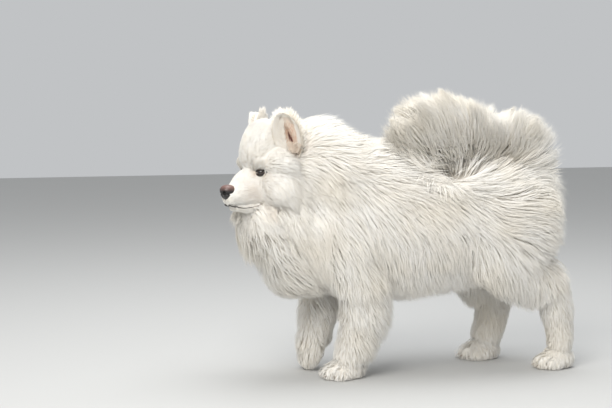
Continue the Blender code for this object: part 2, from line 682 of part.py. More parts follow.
def make_lids(sign):
    """Both lids of an eye as one closed shell with an almond opening."""
    look, level, upward = eye_axes(sign)
    centre = Vector(mirrored(EYE_PLACE, sign))
    inner = (EYE_RADIUS + GAP) / math.cos(math.pi / LID_STEPS) / math.cos(LID_REACH / 9)
    outer = inner + LID_THICK
    points = []
    for j in range(LID_STEPS):
        angle = 2 * math.pi * j / LID_STEPS
        across, high = math.cos(angle), math.sin(angle)
        half_height = EYE_HALF_HEIGHT * (1 - 0.25 * across * across)
        edge = math.hypot(EYE_HALF_LENGTH * across, half_height * high) / inner
        wide = LID_REACH - edge
        profile = ((0.0, inner), (0.02, outer - 0.0006), (0.3 * wide, outer), (wide, outer),
                   (wide, inner), (wide * 2 / 3, inner), (wide / 3, inner))
        for turn, radius in profile:
            turn += edge
            out = look * math.cos(turn) + (level * across + upward * high) * math.sin(turn)
            points.append(centre + out * radius)
    faces = []
    rows = len(profile)
    for j in range(LID_STEPS):
        n = (j + 1) % LID_STEPS
        for k in range(rows):
            m = (k + 1) % rows
            faces.append((rows * j + k, rows * n + k, rows * n + m, rows * j + m))
    made = mesh_object("lids", points, faces)
    made.data.transform(head_matrix())
    return made


def make_mouth_blade():
    """A thin bent blade that cuts the line between the lips."""
    line = [Vector(p) for p in MOUTH_LINE]
    line = [Vector(mirrored(p, -1)) for p in line[:0:-1]] + line
    points = []
    for p in line:
        inward = Vector((0.55 * (0.045 - p.x) - 0.012, -p.y, 0)).normalized()
        for reach in (0.012, -MOUTH_DEEP):
            for high in (-MOUTH_GAP / 2, MOUTH_GAP / 2):
                points.append(p - inward * reach + Vector((0, 0, high if reach > 0 else high * 0.4)))
    faces = [(0, 1, 3, 2)]
    last = 4 * (len(line) - 1)
    faces.append((last, last + 1, last + 3, last + 2))
    for k in range(len(line) - 1):
        a, b = 4 * k, 4 * k + 4
        for p, q in ((0, 1), (1, 3), (3, 2), (2, 0)):
            faces.append((a + p, a + q, b + q, b + p))
    made = mesh_object("mouth", points, faces)
    made.data.transform(head_matrix())
    return made


def make_nose(name, grow):
    made = blob(name, NOSE, [r + grow for r in NOSE_SIZE], 16, 10)
    made.data.transform(head_matrix())
    return made


def cut_nostrils(nose):
    holes = [blob("nostril", mirrored(NOSTRIL, sign), NOSTRIL_SIZE, 8, 6) for sign in (1, -1)]
    for hole in holes:
        hole.data.transform(head_matrix())
    return combine(nose, holes, "DIFFERENCE")


def ear_point(u, v, sign, lift):
    """A point of the ear: u across from -1 to 1, v from below its base to its tip."""
    base, tip = Vector(EAR_BASE), Vector(EAR_TIP)
    shrink = math.sqrt(max(0.0, 1 - max(0.0, (v - EAR_ROUND) / (1 - EAR_ROUND)) ** 2))
    facing = Vector((math.cos(EAR_FACING), math.sin(EAR_FACING), 0))
    across = Vector((-math.sin(EAR_FACING), math.cos(EAR_FACING), 0))
    out = EAR_HOLLOW * (u * u - 0.55) * shrink + lift
    spot = base.lerp(tip, v) + across * (u * EAR_HALF_WIDTH * shrink) + facing * out
    return Vector(mirrored(spot, sign))


def make_ear(name, sign):
    """A cupped ear: an outer and an inner face that meet round its rim."""
    across = [math.sin(math.pi * (i / EAR_COLUMNS - 0.5)) for i in range(EAR_COLUMNS + 1)]
    up = [-0.35 + (1.35 - 0.006) * math.sin(math.pi / 2 * j / EAR_ROWS) for j in range(EAR_ROWS + 1)]
    points = [ear_point(u, v, sign, 0.0) for v in up for u in across]
    points += [ear_point(u, v, sign, -EAR_THICK * (1 - 0.4 * u * u)) for v in up for u in across]
    row = EAR_COLUMNS + 1
    back = row * (EAR_ROWS + 1)
    faces = []
    for j in range(EAR_ROWS):
        for i in range(EAR_COLUMNS):
            a = j * row + i
            faces.append((a, a + 1, a + row + 1, a + row))
            faces.append((a + back, a + back + 1, a + back + row + 1, a + back + row))
        for i in (0, EAR_COLUMNS):
            a = j * row + i
            faces.append((a, a + row, a + row + back, a + back))
    for i in range(EAR_COLUMNS):
        for j in (0, EAR_ROWS):
            a = j * row + i
            faces.append((a, a + 1, a + 1 + back, a + back))
    made = mesh_object(name, points, faces)
    made.data.transform(head_matrix())
    return made


def in_head(point):
    """Whether a point lies in or before the head's own form, where no lock of the neck starts."""
    local = head_matrix().inverted() @ point
    return local.x > -0.085 and abs(local.y) < 0.13 and -0.115 < local.z < 0.16


def head_wants_lock(point):
    """Long coat on the cheeks, behind the ears and under the jaw's hinge."""
    local = head_matrix().inverted() @ point
    side = abs(local.y)
    near_ear = (Vector((local.x, side, local.z)) - Vector(EAR_BASE)).length < 0.040
    clear_of_eye = (Vector((local.x, side, local.z)) - Vector(EYE_PLACE)).length > 0.030
    cheek = side > 0.045 and local.x < 0.004 and local.z < 0.050 and clear_of_eye
    crown = local.x < -0.070 and local.z > 0.0
    throat = local.x < -0.030 and local.z < -0.070
    return (cheek or crown or throat) and local.x > -0.125 and not near_ear


def body_wants_lock(point):
    """Long coat all over the trunk, the neck and the thighs, and behind the forelegs."""
    if in_head(point):
        return False
    behind = 0.050 if point.y < 0 else 0.006
    feather = behind < point.x < behind + 0.06 and point.z > 0.10 and abs(point.y) > 0.03
    inner = abs(point.y) < 0.06 and point.z < 0.26 and -0.05 < point.x < 0.40
    under_tail = abs(point.y) < 0.05 and point.z > 0.48 and 0.20 < point.x < 0.44
    return feather or (point.z > 0.205 and not inner and not under_tail)


def tail_wants_lock(point):
    return point.z > 0.50


def finish(pieces):
    """Stands the model on the floor about its own middle, and gives each piece its material."""
    places = np.array([v.co for piece in pieces for v in piece.data.vertices])
    low, high = places.min(axis=0), places.max(axis=0)
    shift = Matrix.Translation((-(low[0] + high[0]) / 2, -(low[1] + high[1]) / 2, -low[2]))
    special = {"left_ear": "ear_coat", "right_ear": "ear_coat", "left_eye": "dark_eye",
               "right_eye": "dark_eye", "nose": "nose_leather"}
    for piece in pieces:
        piece.data.transform(shift)
        colour, roughness, metallic = FINISHES[special.get(piece.name, "white_coat")]
        material = bpy.data.materials.new(piece.name + "_finish")
        material.use_nodes = True
        shader = material.node_tree.nodes["Principled BSDF"]
        shader.inputs["Base Color"].default_value = colour
        shader.inputs["Roughness"].default_value = roughness
        shader.inputs["Metallic"].default_value = metallic
        material.diffuse_color = colour
        piece.data.materials.clear()
        piece.data.materials.append(material)
        smooth = piece.name in ("left_eye", "right_eye", "nose")
        for face in piece.data.polygons:
            face.use_smooth = smooth
    return shift


def main():
    clear_scene()
    body = make_body()
    tail = make_tail()
    head = make_head()
    head.data.transform(head_matrix())
    lie = lie_from(guide_rows(COAT))
    head_lie = lie_from(guide_rows(HEAD_COAT), head_matrix())
    locks = locks_on(body, LOCK_SPACING, 3, lie, body_wants_lock, 0.50)
    locks += locks_on(tail, PLUME_SPACING, 5, plume_lie, tail_wants_lock, 0.46)
    locks += locks_on(head, HEAD_LOCK_SPACING, 7, head_lie, head_wants_lock, 0.40)
    paws = [make_paw(name) for name in PAWS]
    nose = make_nose("nose", 0.0)
    combine(head, [make_mouth_blade()], "DIFFERENCE")
    cutters = [make_nose("socket", GAP)]
    clear_of_eye = (EYE_RADIUS + GAP) / math.cos(math.pi / EYE_SEGMENTS) / EYE_RADIUS
    for sign in (1, -1):
        socket = make_eye("socket", sign)
        centre = head_matrix() @ Vector(mirrored(EYE_PLACE, sign))
        socket.data.transform(Matrix.Translation(centre) @ Matrix.Scale(clear_of_eye, 4)
                              @ Matrix.Translation(-centre))
        cutters += [socket, make_hollow(sign)]
    ears = [make_ear("ear", 1), make_ear("ear", -1)]
    rest = body
    combine(rest, [tail, head] + paws + ears + locks, "UNION")
    thin_out(rest, UNION_TRIANGLES)
    combine(rest, cutters, "DIFFERENCE")
    combine(rest, [make_lids(1), make_lids(-1)], "UNION")
    floor = prism("floor", ((-1, -1), (1, -1), (1, 0), (-1, 0)), -0.5, 0.5, 0.0)
    combine(rest, [floor], "DIFFERENCE")
    largest_surface(rest)
    pieces = [cut_nostrils(nose), make_eye("left_eye", 1), make_eye("right_eye", -1)]

    tail = part_off(rest, "tail_base", TAIL_CUT)
    middle = part_off(tail, "tail_middle", TAIL_MIDDLE_CUT)
    tip = part_off(middle, "tail_tip", TAIL_TIP_CUT)
    pieces += [largest_surface(tail), largest_surface(middle), tip]

    head = part_off(rest, "head", HEAD_CUT, head_matrix())
    for name, sign in (("left_ear", 1), ("right_ear", -1)):
        across = Matrix(((0, -1, 0, 0), (sign, 0, 0, 0), (0, 0, 1, 0), (0, 0, 0, 1)))
        pieces.append(part_off(head, name, EAR_CUT, head_matrix() @ across))
    pieces += [largest_surface(head), part_off(rest, "neck", NECK_CUT)]

    for name, cut in LEG_CUTS.items():
        leg = part_off(rest, name, cut)
        paw_name, outline = PAW_CUTS[name]
        paw = part_off(leg, paw_name, (outline, -0.3, 0.3))
        pieces += [largest_surface(leg), paw]
    rest.name = "torso"
    pieces.append(largest_surface(rest))
    shift = finish(pieces)
    print("shift", tuple(shift.translation))
    for piece in pieces:
        print(piece.name, triangle_count(piece))
    print("total", sum(triangle_count(piece) for piece in pieces))


main()
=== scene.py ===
import math
import bmesh
import bpy
import numpy as np
from mathutils import Matrix, Vector
from mathutils.bvhtree import BVHTree
from mathutils.kdtree import KDTree


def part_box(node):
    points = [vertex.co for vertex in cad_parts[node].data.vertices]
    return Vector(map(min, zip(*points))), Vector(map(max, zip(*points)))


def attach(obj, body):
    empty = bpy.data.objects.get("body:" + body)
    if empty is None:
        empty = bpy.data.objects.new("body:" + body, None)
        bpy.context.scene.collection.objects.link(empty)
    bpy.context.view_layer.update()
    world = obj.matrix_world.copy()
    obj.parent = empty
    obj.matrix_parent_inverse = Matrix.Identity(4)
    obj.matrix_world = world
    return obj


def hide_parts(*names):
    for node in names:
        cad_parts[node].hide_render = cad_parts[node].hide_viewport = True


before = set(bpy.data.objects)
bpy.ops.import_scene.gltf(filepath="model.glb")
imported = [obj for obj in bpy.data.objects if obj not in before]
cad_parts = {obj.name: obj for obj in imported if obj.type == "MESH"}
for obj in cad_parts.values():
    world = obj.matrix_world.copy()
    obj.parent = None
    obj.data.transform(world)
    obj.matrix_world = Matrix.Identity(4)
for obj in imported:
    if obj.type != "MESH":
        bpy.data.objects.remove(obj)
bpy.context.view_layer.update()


def metres(*rows):
    return [tuple(c / 1000 for c in row) for row in rows]


# Tables are in millimetres, single sizes in metres. Places on the body are worked out from the near
# forefoot, as in the solids, and moved by place at the end.
# A tube's stations: x, y, z, half width across y, half depth, depth of the coat.
body = {
    "trunk": metres(
        (-175, -6, 360, 75, 100, 40), (-130, -4, 370, 128, 168, 55), (-60, -2, 385, 152, 197, 60),
        (30, 0, 392, 160, 208, 62), (120, 0, 377, 163, 203, 60), (220, 0, 376, 160, 190, 58),
        (320, 0, 385, 156, 173, 56), (400, 0, 398, 156, 156, 54), (455, 0, 398, 146, 138, 52),
        (500, 0, 385, 118, 108, 48)),
    "neck": metres(
        (10, 0, 445, 140, 155, 60), (-50, -4, 486, 150, 156, 65), (-100, -14, 512, 142, 146, 62),
        (-128, -24, 524, 118, 122, 50)),
    "bib": metres(
        (-192, -30, 426, 98, 84, 45), (-194, -22, 395, 116, 92, 60), (-150, -10, 330, 118, 85, 60),
        (-110, -4, 254, 105, 84, 55)),
    "leftFore": metres(
        (-10, -90, 380, 65, 90, 50), (20, -86, 270, 58, 78, 45), (44, -78, 200, 46, 58, 20),
        (40, -68, 140, 38, 47, 10), (28, -60, 85, 33, 40, 6), (10, -58, 45, 31, 34, 4)),
    "rightFore": metres(
        (-10, 90, 380, 65, 90, 50), (0, 86, 280, 58, 75, 45), (-6, 80, 210, 46, 55, 20), (-24, 74, 150, 38, 43, 10),
        (-36, 70, 105, 33, 36, 6), (-30, 70, 76, 30, 31, 4)),
    "leftHind": metres(
        (410, -75, 420, 80, 145, 50), (415, -90, 325, 76, 145, 50), (458, -86, 252, 58, 88, 45),
        (528, -78, 215, 41, 52, 20), (552, -74, 160, 33, 40, 9), (566, -71, 90, 29, 33, 5), (566, -70, 50, 28, 30, 4)),
    "rightHind": metres(
        (410, 75, 420, 80, 145, 50), (390, 92, 320, 76, 125, 50), (404, 92, 240, 58, 85, 40),
        (446, 92, 165, 42, 53, 16), (446, 92, 110, 34, 41, 7), (430, 92, 55, 31, 36, 4)),
    "tail": metres(
        (460, 0, 460, 40, 40, 10), (476, -2, 515, 78, 68, 45), (440, -8, 556, 90, 84, 66),
        (362, -18, 572, 106, 96, 86), (280, -28, 580, 106, 100, 90), (222, -34, 580, 90, 88, 76),
        (186, -38, 574, 58, 56, 45)),
    "inside": 0.86,          # share of the coat's depth that the skin lies under it
    "sides": 28,
    "steps": 4,
    "capBulge": 0.6,
    "voxel": 0.0055,
    "smoothing": 5,
}
# The head's own frame: x forward, y to its left, z up, from the middle between the eyes.
head = {
    "place": Vector((-0.221, -0.047, 0.512)),
    "turn": math.radians(20.0),
    "muzzle": metres(
        (-15, 0, -36, 50, 54, 8), (20, 0, -43, 41, 47, 6), (46, 0, -54, 32, 35, 5), (69, 0, -60, 26, 23.5, 4)),
    "jaw": metres(
        (-34, 0, -78, 40, 26, 8), (20, 0, -86, 26, 14, 4), (58, 0, -86, 18, 8.5, 3)),
    # rounded forms: x, y, z, half length, half width, half height, coat; those with a y come in pairs
    "forms": metres(
        (-54, 0, 34, 102, 73, 96, 26), (-22, 0, 78, 50, 46, 48, 24), (0, 29, 19, 27, 25, 19, 8),
        (-38, 55, 30, 38, 34, 36, 18), (-12, 28, -4, 22, 23, 19, 6), (-18, 34, -36, 38, 27, 38, 8),
        (-86, 50, -22, 74, 58, 88, 36), (-55, 53, -12, 50, 45, 68, 28), (-30, 52, -34, 50, 40, 50, 14),
        (-34, 52, 14, 46, 40, 40, 14), (-66, 50, -90, 62, 50, 64, 30)),
    "voxel": 0.0024,
    "smoothing": 4,
    "broadFrom": 0.012,      # behind this the forms run into each other
    "broadSmoothing": 60,
}
paws = {
    "forms": metres(
        (-12, 0, 24, 38, 31, 28), (26, 11.5, 15, 23, 12, 16.5), (26, -11.5, 15, 23, 12, 16.5),
        (12, 27, 13, 21, 11, 14.5), (12, -27, 13, 21, 11, 14.5)),
    # middle, how far the toes dip and how far they turn out, in degrees
    "stand": (((-0.002, -0.056, 0.0), 0.0, 5.0), ((-0.028, 0.070, 0.052), 62.0, 0.0),
              ((0.550, -0.070, 0.0), 0.0, 4.0), ((0.412, 0.094, 0.0), 0.0, -4.0)),
    "claws": ((0.046, 0.0120), (0.046, -0.0120), (0.031, 0.0280), (0.031, -0.0280)),
    "clawPlace": (0.0015, 0.0125),       # forward of the toe's middle, and its height
    "clawDrop": 0.0052,
    "clawLength": 0.017,
    "clawRadius": 0.0031,
    "voxel": 0.0026,
}
eye = {
    "place": (0.001, 0.0355, -0.003),
    "radius": 0.0115,
    "look": (0.86, 0.50, 0.02),
    "halfLength": 0.0134,    # of the lids' opening, measured over the ball
    "halfHeight": 0.0060,
    "rimLength": 0.0036,     # how wide the dark rim is at the corners, and above and below
    "rimHeight": 0.0024,
    "lidThick": 0.0022,
    "lidReach": math.radians(88),
    "darkLength": 0.0205,    # the dark skin runs on past the corners
    "darkHeight": 0.0096,
    "hollowReach": 0.034,    # the skin is shaped within this, and made finer within finerReach
    "finerReach": 0.026,
    "blendFrom": 0.0130,     # the skin lies on the lids' ball up to here, and is left alone past blendTo
    "blendTo": 0.0225,
    "behind": 0.003,         # how far the skin keeps behind the eyeball's surface
    "cornea": 0.06,
    "corneaReach": 0.70,
}
nose = {
    "place": (0.0728, 0.0, -0.0488),
    "size": (0.0190, 0.0190, 0.0180),
    "blunt": 0.86,
    "narrowing": 0.34,       # below, on both sides
    "overhang": 0.0022,
    "tuck": 0.0026,
    "nostril": (0.0088, -0.0010),
    "nostrilSize": (0.0080, 0.0040, 0.0050),
    "slit": (0.0165, -0.0035),
    "slitSize": (0.0048, 0.0016),
    "wing": (0.0125, 0.0055),
    "wingSize": 0.0035,
    "wingBulge": 0.0012,
    "grooveWidth": 0.0012,
    "grooveDepth": 0.0024,
}
mouth = {
    "line": metres(
        (80, 0, -76.5), (75, 11, -79.5), (63, 20.5, -83.5), (42, 30, -86), (20, 38.5, -82.5), (2, 45, -75.5)),
    "gap": 0.0022,
    "deep": 0.007,
    "lip": 0.0013,
}
ear = {
    "base": (-0.058, 0.065, 0.058),
    "tip": (-0.048, 0.057, 0.136),
    "facing": math.radians(44),
    "halfWidth": 0.035,
    "hollow": 0.017,
    "thick": 0.009,
    "round": 0.30,
    "fold": 0.012,
    "rows": 24,
    "columns": 22,
}
# How the coat lies, on the left side and along the middle: where, which way, length, lift in degrees.
bodyLie = (
    (-80, 0, 620, 1, 0, 0.35, 95, 42), (30, 0, 590, 1, 0, 0.1, 105, 36), (200, 0, 560, 1, 0, -0.05, 85, 24),
    (400, 0, 550, 1, 0, 0, 80, 24), (500, 0, 480, 1, 0, 0.25, 105, 38), (-80, -130, 550, 0.8, -0.1, -0.6, 110, 30),
    (-70, -150, 460, 0.6, 0, -1, 120, 30), (-80, -140, 360, 0.45, 0, -1, 120, 28),
    (-235, -40, 430, -0.3, 0, -0.9, 85, 40), (-230, -30, 385, -0.2, 0, -1, 110, 38),
    (-200, -30, 320, 0.5, 0, -1, 100, 26), (-100, -50, 220, 0.9, 0, -0.6, 80, 28),
    (0, -150, 420, 0.6, 0, -1, 115, 28), (20, -140, 300, 0.35, 0, -1, 105, 26),
    (150, -140, 480, 1, 0, -0.35, 105, 26), (150, -160, 400, 0.8, 0, -0.8, 110, 26),
    (150, -150, 290, 0.25, 0, -1, 115, 26), (200, -40, 200, 0.4, 0, -1, 70, 30),
    (320, -130, 480, 1, 0, -0.2, 105, 26), (300, -155, 400, 0.8, 0, -0.7, 110, 26),
    (300, -150, 290, 0.25, 0, -1, 100, 26), (430, -120, 480, 1, 0, 0.3, 105, 32),
    (420, -160, 380, 1, 0, -0.15, 110, 26), (370, -150, 280, 0.5, 0, -1, 95, 24),
    (500, -100, 320, 1, 0, -0.5, 80, 28), (510, -20, 400, 0.6, 0, -0.8, 85, 28),
    (460, -120, 250, 0.6, 0, -1, 85, 26), (540, -75, 190, 0.4, 0, -1, 44, 22), (566, -71, 110, 0.1, 0, -1, 28, 20),
    (446, -92, 120, 0.1, 0, -1, 34, 22), (566, -70, 60, 0, 0, -1, 24, 22), (0, -100, 210, 0.2, 0, -1, 60, 24),
    (10, -70, 130, 0.1, 0, -1, 42, 24), (0, -60, 60, -0.1, 0, -1, 28, 24), (90, -70, 160, 0.7, 0, -1, 65, 36),
    (60, -60, 100, 0.6, 0, -1, 48, 34))
# The same for the head, in its own frame.
headLie = (
    (60, 0, -30, -1, 0, 0.25, 7, 20), (35, 20, -22, -1, 0.3, 0.2, 9, 22), (55, 28, -60, -1, 0.15, -0.1, 8, 22),
    (30, 40, -55, -1, 0.3, -0.2, 11, 22), (60, 22, -76, -1, 0.1, -0.5, 7, 24), (50, 0, -96, -1, 0, -0.3, 7, 24),
    (20, 15, -100, -1, 0.1, -0.5, 12, 26), (20, 0, -8, -0.5, 0, 1, 12, 26), (30, 0, 30, -0.35, 0, 1, 22, 36),
    (18, 30, 18, -0.4, 0.35, 1, 16, 36), (20, 0, 70, -0.7, 0, 1, 30, 36), (0, 0, 105, -1, 0, 0.8, 34, 36),
    (-40, 0, 137, -1, 0, 0.5, 46, 44), (-100, 0, 120, -1, 0, 0.4, 75, 46), (0, 56, 0, -1, 0.6, 0, 18, 24),
    (5, 45, -26, -1, 0.4, -0.25, 14, 24), (-12, 64, 30, -1, 0.5, 0, 34, 24), (-5, 70, -35, -1, 0.4, -0.6, 52, 24),
    (-25, 48, 85, -0.7, 0.3, 0.9, 15, 26), (-30, 58, 60, -0.8, 0.5, 0.4, 14, 24),
    (-40, 35, 120, -0.9, 0.4, 0.6, 20, 30), (-60, 75, 40, -1, 0.5, 0, 30, 30), (-45, 105, 5, -1, 0.25, -0.5, 80, 28),
    (-30, 95, -50, -0.7, 0.15, -1, 105, 27), (-60, 90, -95, -0.5, 0.05, -1, 120, 28),
    (0, 50, -85, -0.6, 0.1, -1, 60, 30), (-35, 0, -108, 0.1, 0, -1, 60, 42), (-95, 70, 70, -1, 0.2, 0.35, 75, 44))
# The tail's hair fans out from a place under its curl; how long it is depends on how far back it grows.
tailLie = {
    "centre": (0.345, -0.020, 0.452),
    "sideways": 0.22,
    "from": (0.14, 0.24, 0.29, 0.36, 0.392, 0.43, 0.52),
    "length": (0.070, 0.114, 0.114, 0.090, 0.062, 0.100, 0.100),
    "lift": 50,
}
# One row for each kind of tuft: tufts in all, half width, rings, waviness, spacing of the clumps, pull
# towards them, and how much the clumps' own lines differ in length and in way.
coat = {
    "body": {"tufts": 48000, "halfWidth": 0.0010, "rings": 3, "wave": 0.0010,
             "clump": 0.018, "pull": 0.26, "shortest": 0.88, "sway": 0.18},
    "tail": {"tufts": 10500, "halfWidth": 0.0010, "rings": 3, "wave": 0.0010,
             "clump": 0.024, "pull": 0.72, "shortest": 0.78, "sway": 0.26},
    "legs": {"tufts": 13000, "halfWidth": 0.0008, "rings": 2, "wave": 0.0,
             "clump": 0.010, "pull": 0.30, "shortest": 0.88, "sway": 0.18},
    "head": {"tufts": 34000, "halfWidth": 0.0007, "rings": 2, "wave": 0.0,
             "clump": 0.010, "pull": 0.34, "shortest": 0.88, "sway": 0.18},
    "wisps": 0.35,                       # share of the tufts that are thin and stray
    "sway": 0.09,
    "flatness": 0.45,
    "steps": {3: (0.0, 0.33, 0.68, 1.0), 2: (0.0, 0.50, 1.0)},      # share of a tuft's length at each ring
    "rise": {3: (0.0, 0.56, 0.88, 1.0), 2: (0.0, 0.75, 1.0)},       # share of its full height there
    "breadth": {3: (0.65, 1.0, 0.78), 2: (0.75, 1.0)},
    "root": 0.003,                       # how deep a tuft starts under the skin
    "floor": 0.0012,                     # no tuft comes nearer to the floor
    "roll": 0.7,
    "perPiece": {3: 12000, 2: 19000},    # tufts in one piece, so that it stays under its limit
    "roundness": 0.36,                   # how far a tuft's shading is its own rather than the skin's
    "patch": 0.0026,                     # a tuft's patch on the map, less than 0.003 across
    "coarse": 6000,                      # faces of the copy that is unwrapped
    "seed": 11,
}
# Where one kind of tuft gives way to another; the head's borders are in its own frame.
border = {
    "headBack": -0.115, "headSide": 0.14, "headLow": -0.125, "headTop": 0.18,
    "tailLow": 0.535, "tailFront": 0.16, "rumpLow": 0.520, "rumpFront": 0.42, "legTop": 0.165,
}
# Tan stains in the head's frame: x, y, z, reach, and how strong each is.
stains = ((18, 22, -12, 10, 0.45), (0, 47, -78, 12, 0.50), (-60, 75, 52, 18, 0.90),
          (30, 36, -50, 26, 0.22), (-30, 58, 80, 18, 0.25), (-4, 45, -16, 12, 0.25))
share = 1.0


def mirrored(place, sign):
    return (place[0], place[1] * sign, place[2])


def clamp(value, low=0.0, high=1.0):
    return min(max(value, low), high)


headFrame = Matrix.Translation(head["place"]) @ Matrix.Rotation(math.pi + head["turn"], 4, "Z")
eyeBox = [Vector(c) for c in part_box("left_eye")]
place = (eyeBox[0] + eyeBox[1]) / 2 - headFrame @ Vector(eye["place"])
print("place", tuple(round(c, 5) for c in place))


# Small modelling helpers
def addObject(name, data):
    made = bpy.data.objects.new(name, data)
    bpy.context.scene.collection.objects.link(made)
    return made


def addMesh(name, points, faces):
    mesh = bpy.data.meshes.new(name)
    mesh.from_pydata([tuple(p) for p in points], [], faces)
    return addObject(name, mesh)


def setFields(mesh, **fields):
    # numbers on the points, read by the materials
    for title, values in fields.items():
        mesh.attributes.new(title, "FLOAT", "POINT").data.foreach_set("value", values)


def readArray(source, title, width, kind=float):
    values = np.zeros(len(source) * width, kind)
    source.foreach_get(title, values)
    return values.reshape(-1, width)


def treeOf(mesh):
    return BVHTree.FromPolygons([v.co for v in mesh.vertices], [p.vertices[:] for p in mesh.polygons])


def active():
    return bpy.context.view_layer.objects.active


def activate(*pieces):
    bpy.ops.object.select_all(action="DESELECT")
    for piece in pieces:
        piece.select_set(True)
    bpy.context.view_layer.objects.active = pieces[0]


def applyAll(piece):
    activate(piece)
    for modifier in list(piece.modifiers):
        bpy.ops.object.modifier_apply(modifier=modifier.name)


def inEditMode(change, **settings):
    bpy.ops.object.mode_set(mode="EDIT")
    bpy.ops.mesh.select_all(action="SELECT")
    change(**settings)
    bpy.ops.object.mode_set(mode="OBJECT")


def pointOut(piece):
    activate(piece)
    inEditMode(bpy.ops.mesh.normals_make_consistent, inside=False)


def joinAll(name, pieces):
    activate(*pieces)
    bpy.ops.object.join()
    made = active()
    made.name = name
    return made


def ball(centre, radii, segments=24, rings=16):
    bpy.ops.mesh.primitive_uv_sphere_add(segments=segments, ring_count=rings, radius=1.0, location=centre)
    made = active()
    made.scale = radii
    bpy.ops.object.transform_apply(location=True, rotation=True, scale=True)
    return made


def meltTogether(piece, voxel, smoothing):
    remesh = piece.modifiers.new("Remesh", "REMESH")
    remesh.mode = "VOXEL"
    remesh.voxel_size = voxel
    soften = piece.modifiers.new("Smooth", "SMOOTH")
    soften.iterations = smoothing
    soften.factor = 0.5
    applyAll(piece)
    return piece


def triangulate(piece):
    piece.modifiers.new("Triangulate", "TRIANGULATE")
    applyAll(piece)


def shadeSmooth(piece):
    for face in piece.data.polygons:
        face.use_smooth = True


def onHead(piece):
    # a piece made in the head's frame, finished
    piece.data.transform(headFrame)
    pointOut(piece)
    shadeSmooth(piece)
    return piece


def curveThrough(spots, steps):
    # spots on a Catmull-Rom curve
    ends = [2 * spots[0] - spots[1], *spots, 2 * spots[-1] - spots[-2]]
    fine = []
    for p0, p1, p2, p3 in zip(ends, ends[1:], ends[2:], ends[3:]):
        for t in (k / steps for k in range(steps)):
            fine.append(0.5 * (2 * p1 + (p2 - p0) * t + (2 * p0 - 5 * p1 + 4 * p2 - p3) * t * t
                               + (3 * p1 - p0 - 3 * p2 + p3) * t ** 3))
    return fine + [spots[-1]]


def tube(stations):
    # a closed tube with round ends through the stations
    rows = np.array(curveThrough(list(np.array(stations)), body["steps"]))
    wide, deep = rows[:, 3:5].T - body["inside"] * rows[:, 5]
    along = np.gradient(rows[:, :3], axis=0)
    along /= np.linalg.norm(along, axis=1)[:, None]
    side = np.array([0, 1.0, 0]) - along * along[:, 1:2]
    side /= np.linalg.norm(side, axis=1)[:, None]
    front = np.cross(along, side)
    rings = [(rows[i, :3], wide[i], deep[i], i) for i in range(len(rows))]
    for end, sign in ((0, -1), (len(rows) - 1, 1)):
        cap = []
        for angle in (25, 50, 75):
            shrink = math.cos(math.radians(angle))
            push = math.sin(math.radians(angle)) * min(wide[end], deep[end]) * body["capBulge"]
            cap.append((rows[end, :3] + sign * push * along[end], wide[end] * shrink, deep[end] * shrink, end))
        rings = cap[::-1] + rings if sign < 0 else rings + cap
    n = body["sides"]
    angles = [2 * math.pi * j / n for j in range(n)]
    points = [centre + side[i] * a * math.cos(angle) + front[i] * b * math.sin(angle)
              for centre, a, b, i in rings for angle in angles]
    faces = [(k * n + j, k * n + (j + 1) % n, (k + 1) * n + (j + 1) % n, (k + 1) * n + j)
             for k in range(len(rings) - 1) for j in range(n)]
    faces += [tuple(range(n)), tuple((len(rings) - 1) * n + j for j in range(n))]
    made = addMesh("tube", points, faces)
    pointOut(made)
    return made


def unite(piece, others, operation="UNION"):
    group = bpy.data.collections.new("operands")
    bpy.context.scene.collection.children.link(group)
    for other in others:
        group.objects.link(other)
    change = piece.modifiers.new("Boolean", "BOOLEAN")
    change.operation = operation
    change.operand_type = "COLLECTION"
    change.collection = group
    change.solver = "MANIFOLD"
    applyAll(piece)
    for other in others:
        bpy.data.objects.remove(other)
    bpy.data.collections.remove(group)
    return piece


# The skin
def eyeAxes(sign):
    look = Vector(mirrored(eye["look"], sign)).normalized()
    level = Vector((0, 0, 1)).cross(look).normalized()
    return look, level, look.cross(level).normalized()


def lens(across, high, halfLength, halfHeight):
    # how far a pointed almond reaches towards a direction, with its corners a little rounded
    c, h = across * across, abs(high)
    b = halfHeight * c / halfLength ** 2
    pointed = halfHeight / max(h, 1e-6) if b < 1e-4 else (-h + math.sqrt(h * h + 4 * b * halfHeight)) / (2 * b)
    smooth = 1 / math.sqrt(c / halfLength ** 2 + high * high / halfHeight ** 2)
    return 0.65 * pointed + 0.35 * smooth


def lidOpening(across, high):
    return lens(across, high, eye["halfLength"], eye["halfHeight"] * (1.0 if high < 0 else 0.92))


def darkAround(across, high):
    # 1 on the dark skin round the eye, which dips at the inner corner
    far = across / eye["darkLength"]
    bend = 0.0030 * far ** 2 * (-1 if across < 0 else 0.4)
    reach = eye["darkHeight"] * (1 - far ** 2)
    return clamp((reach - abs(high - bend)) / 0.0016)


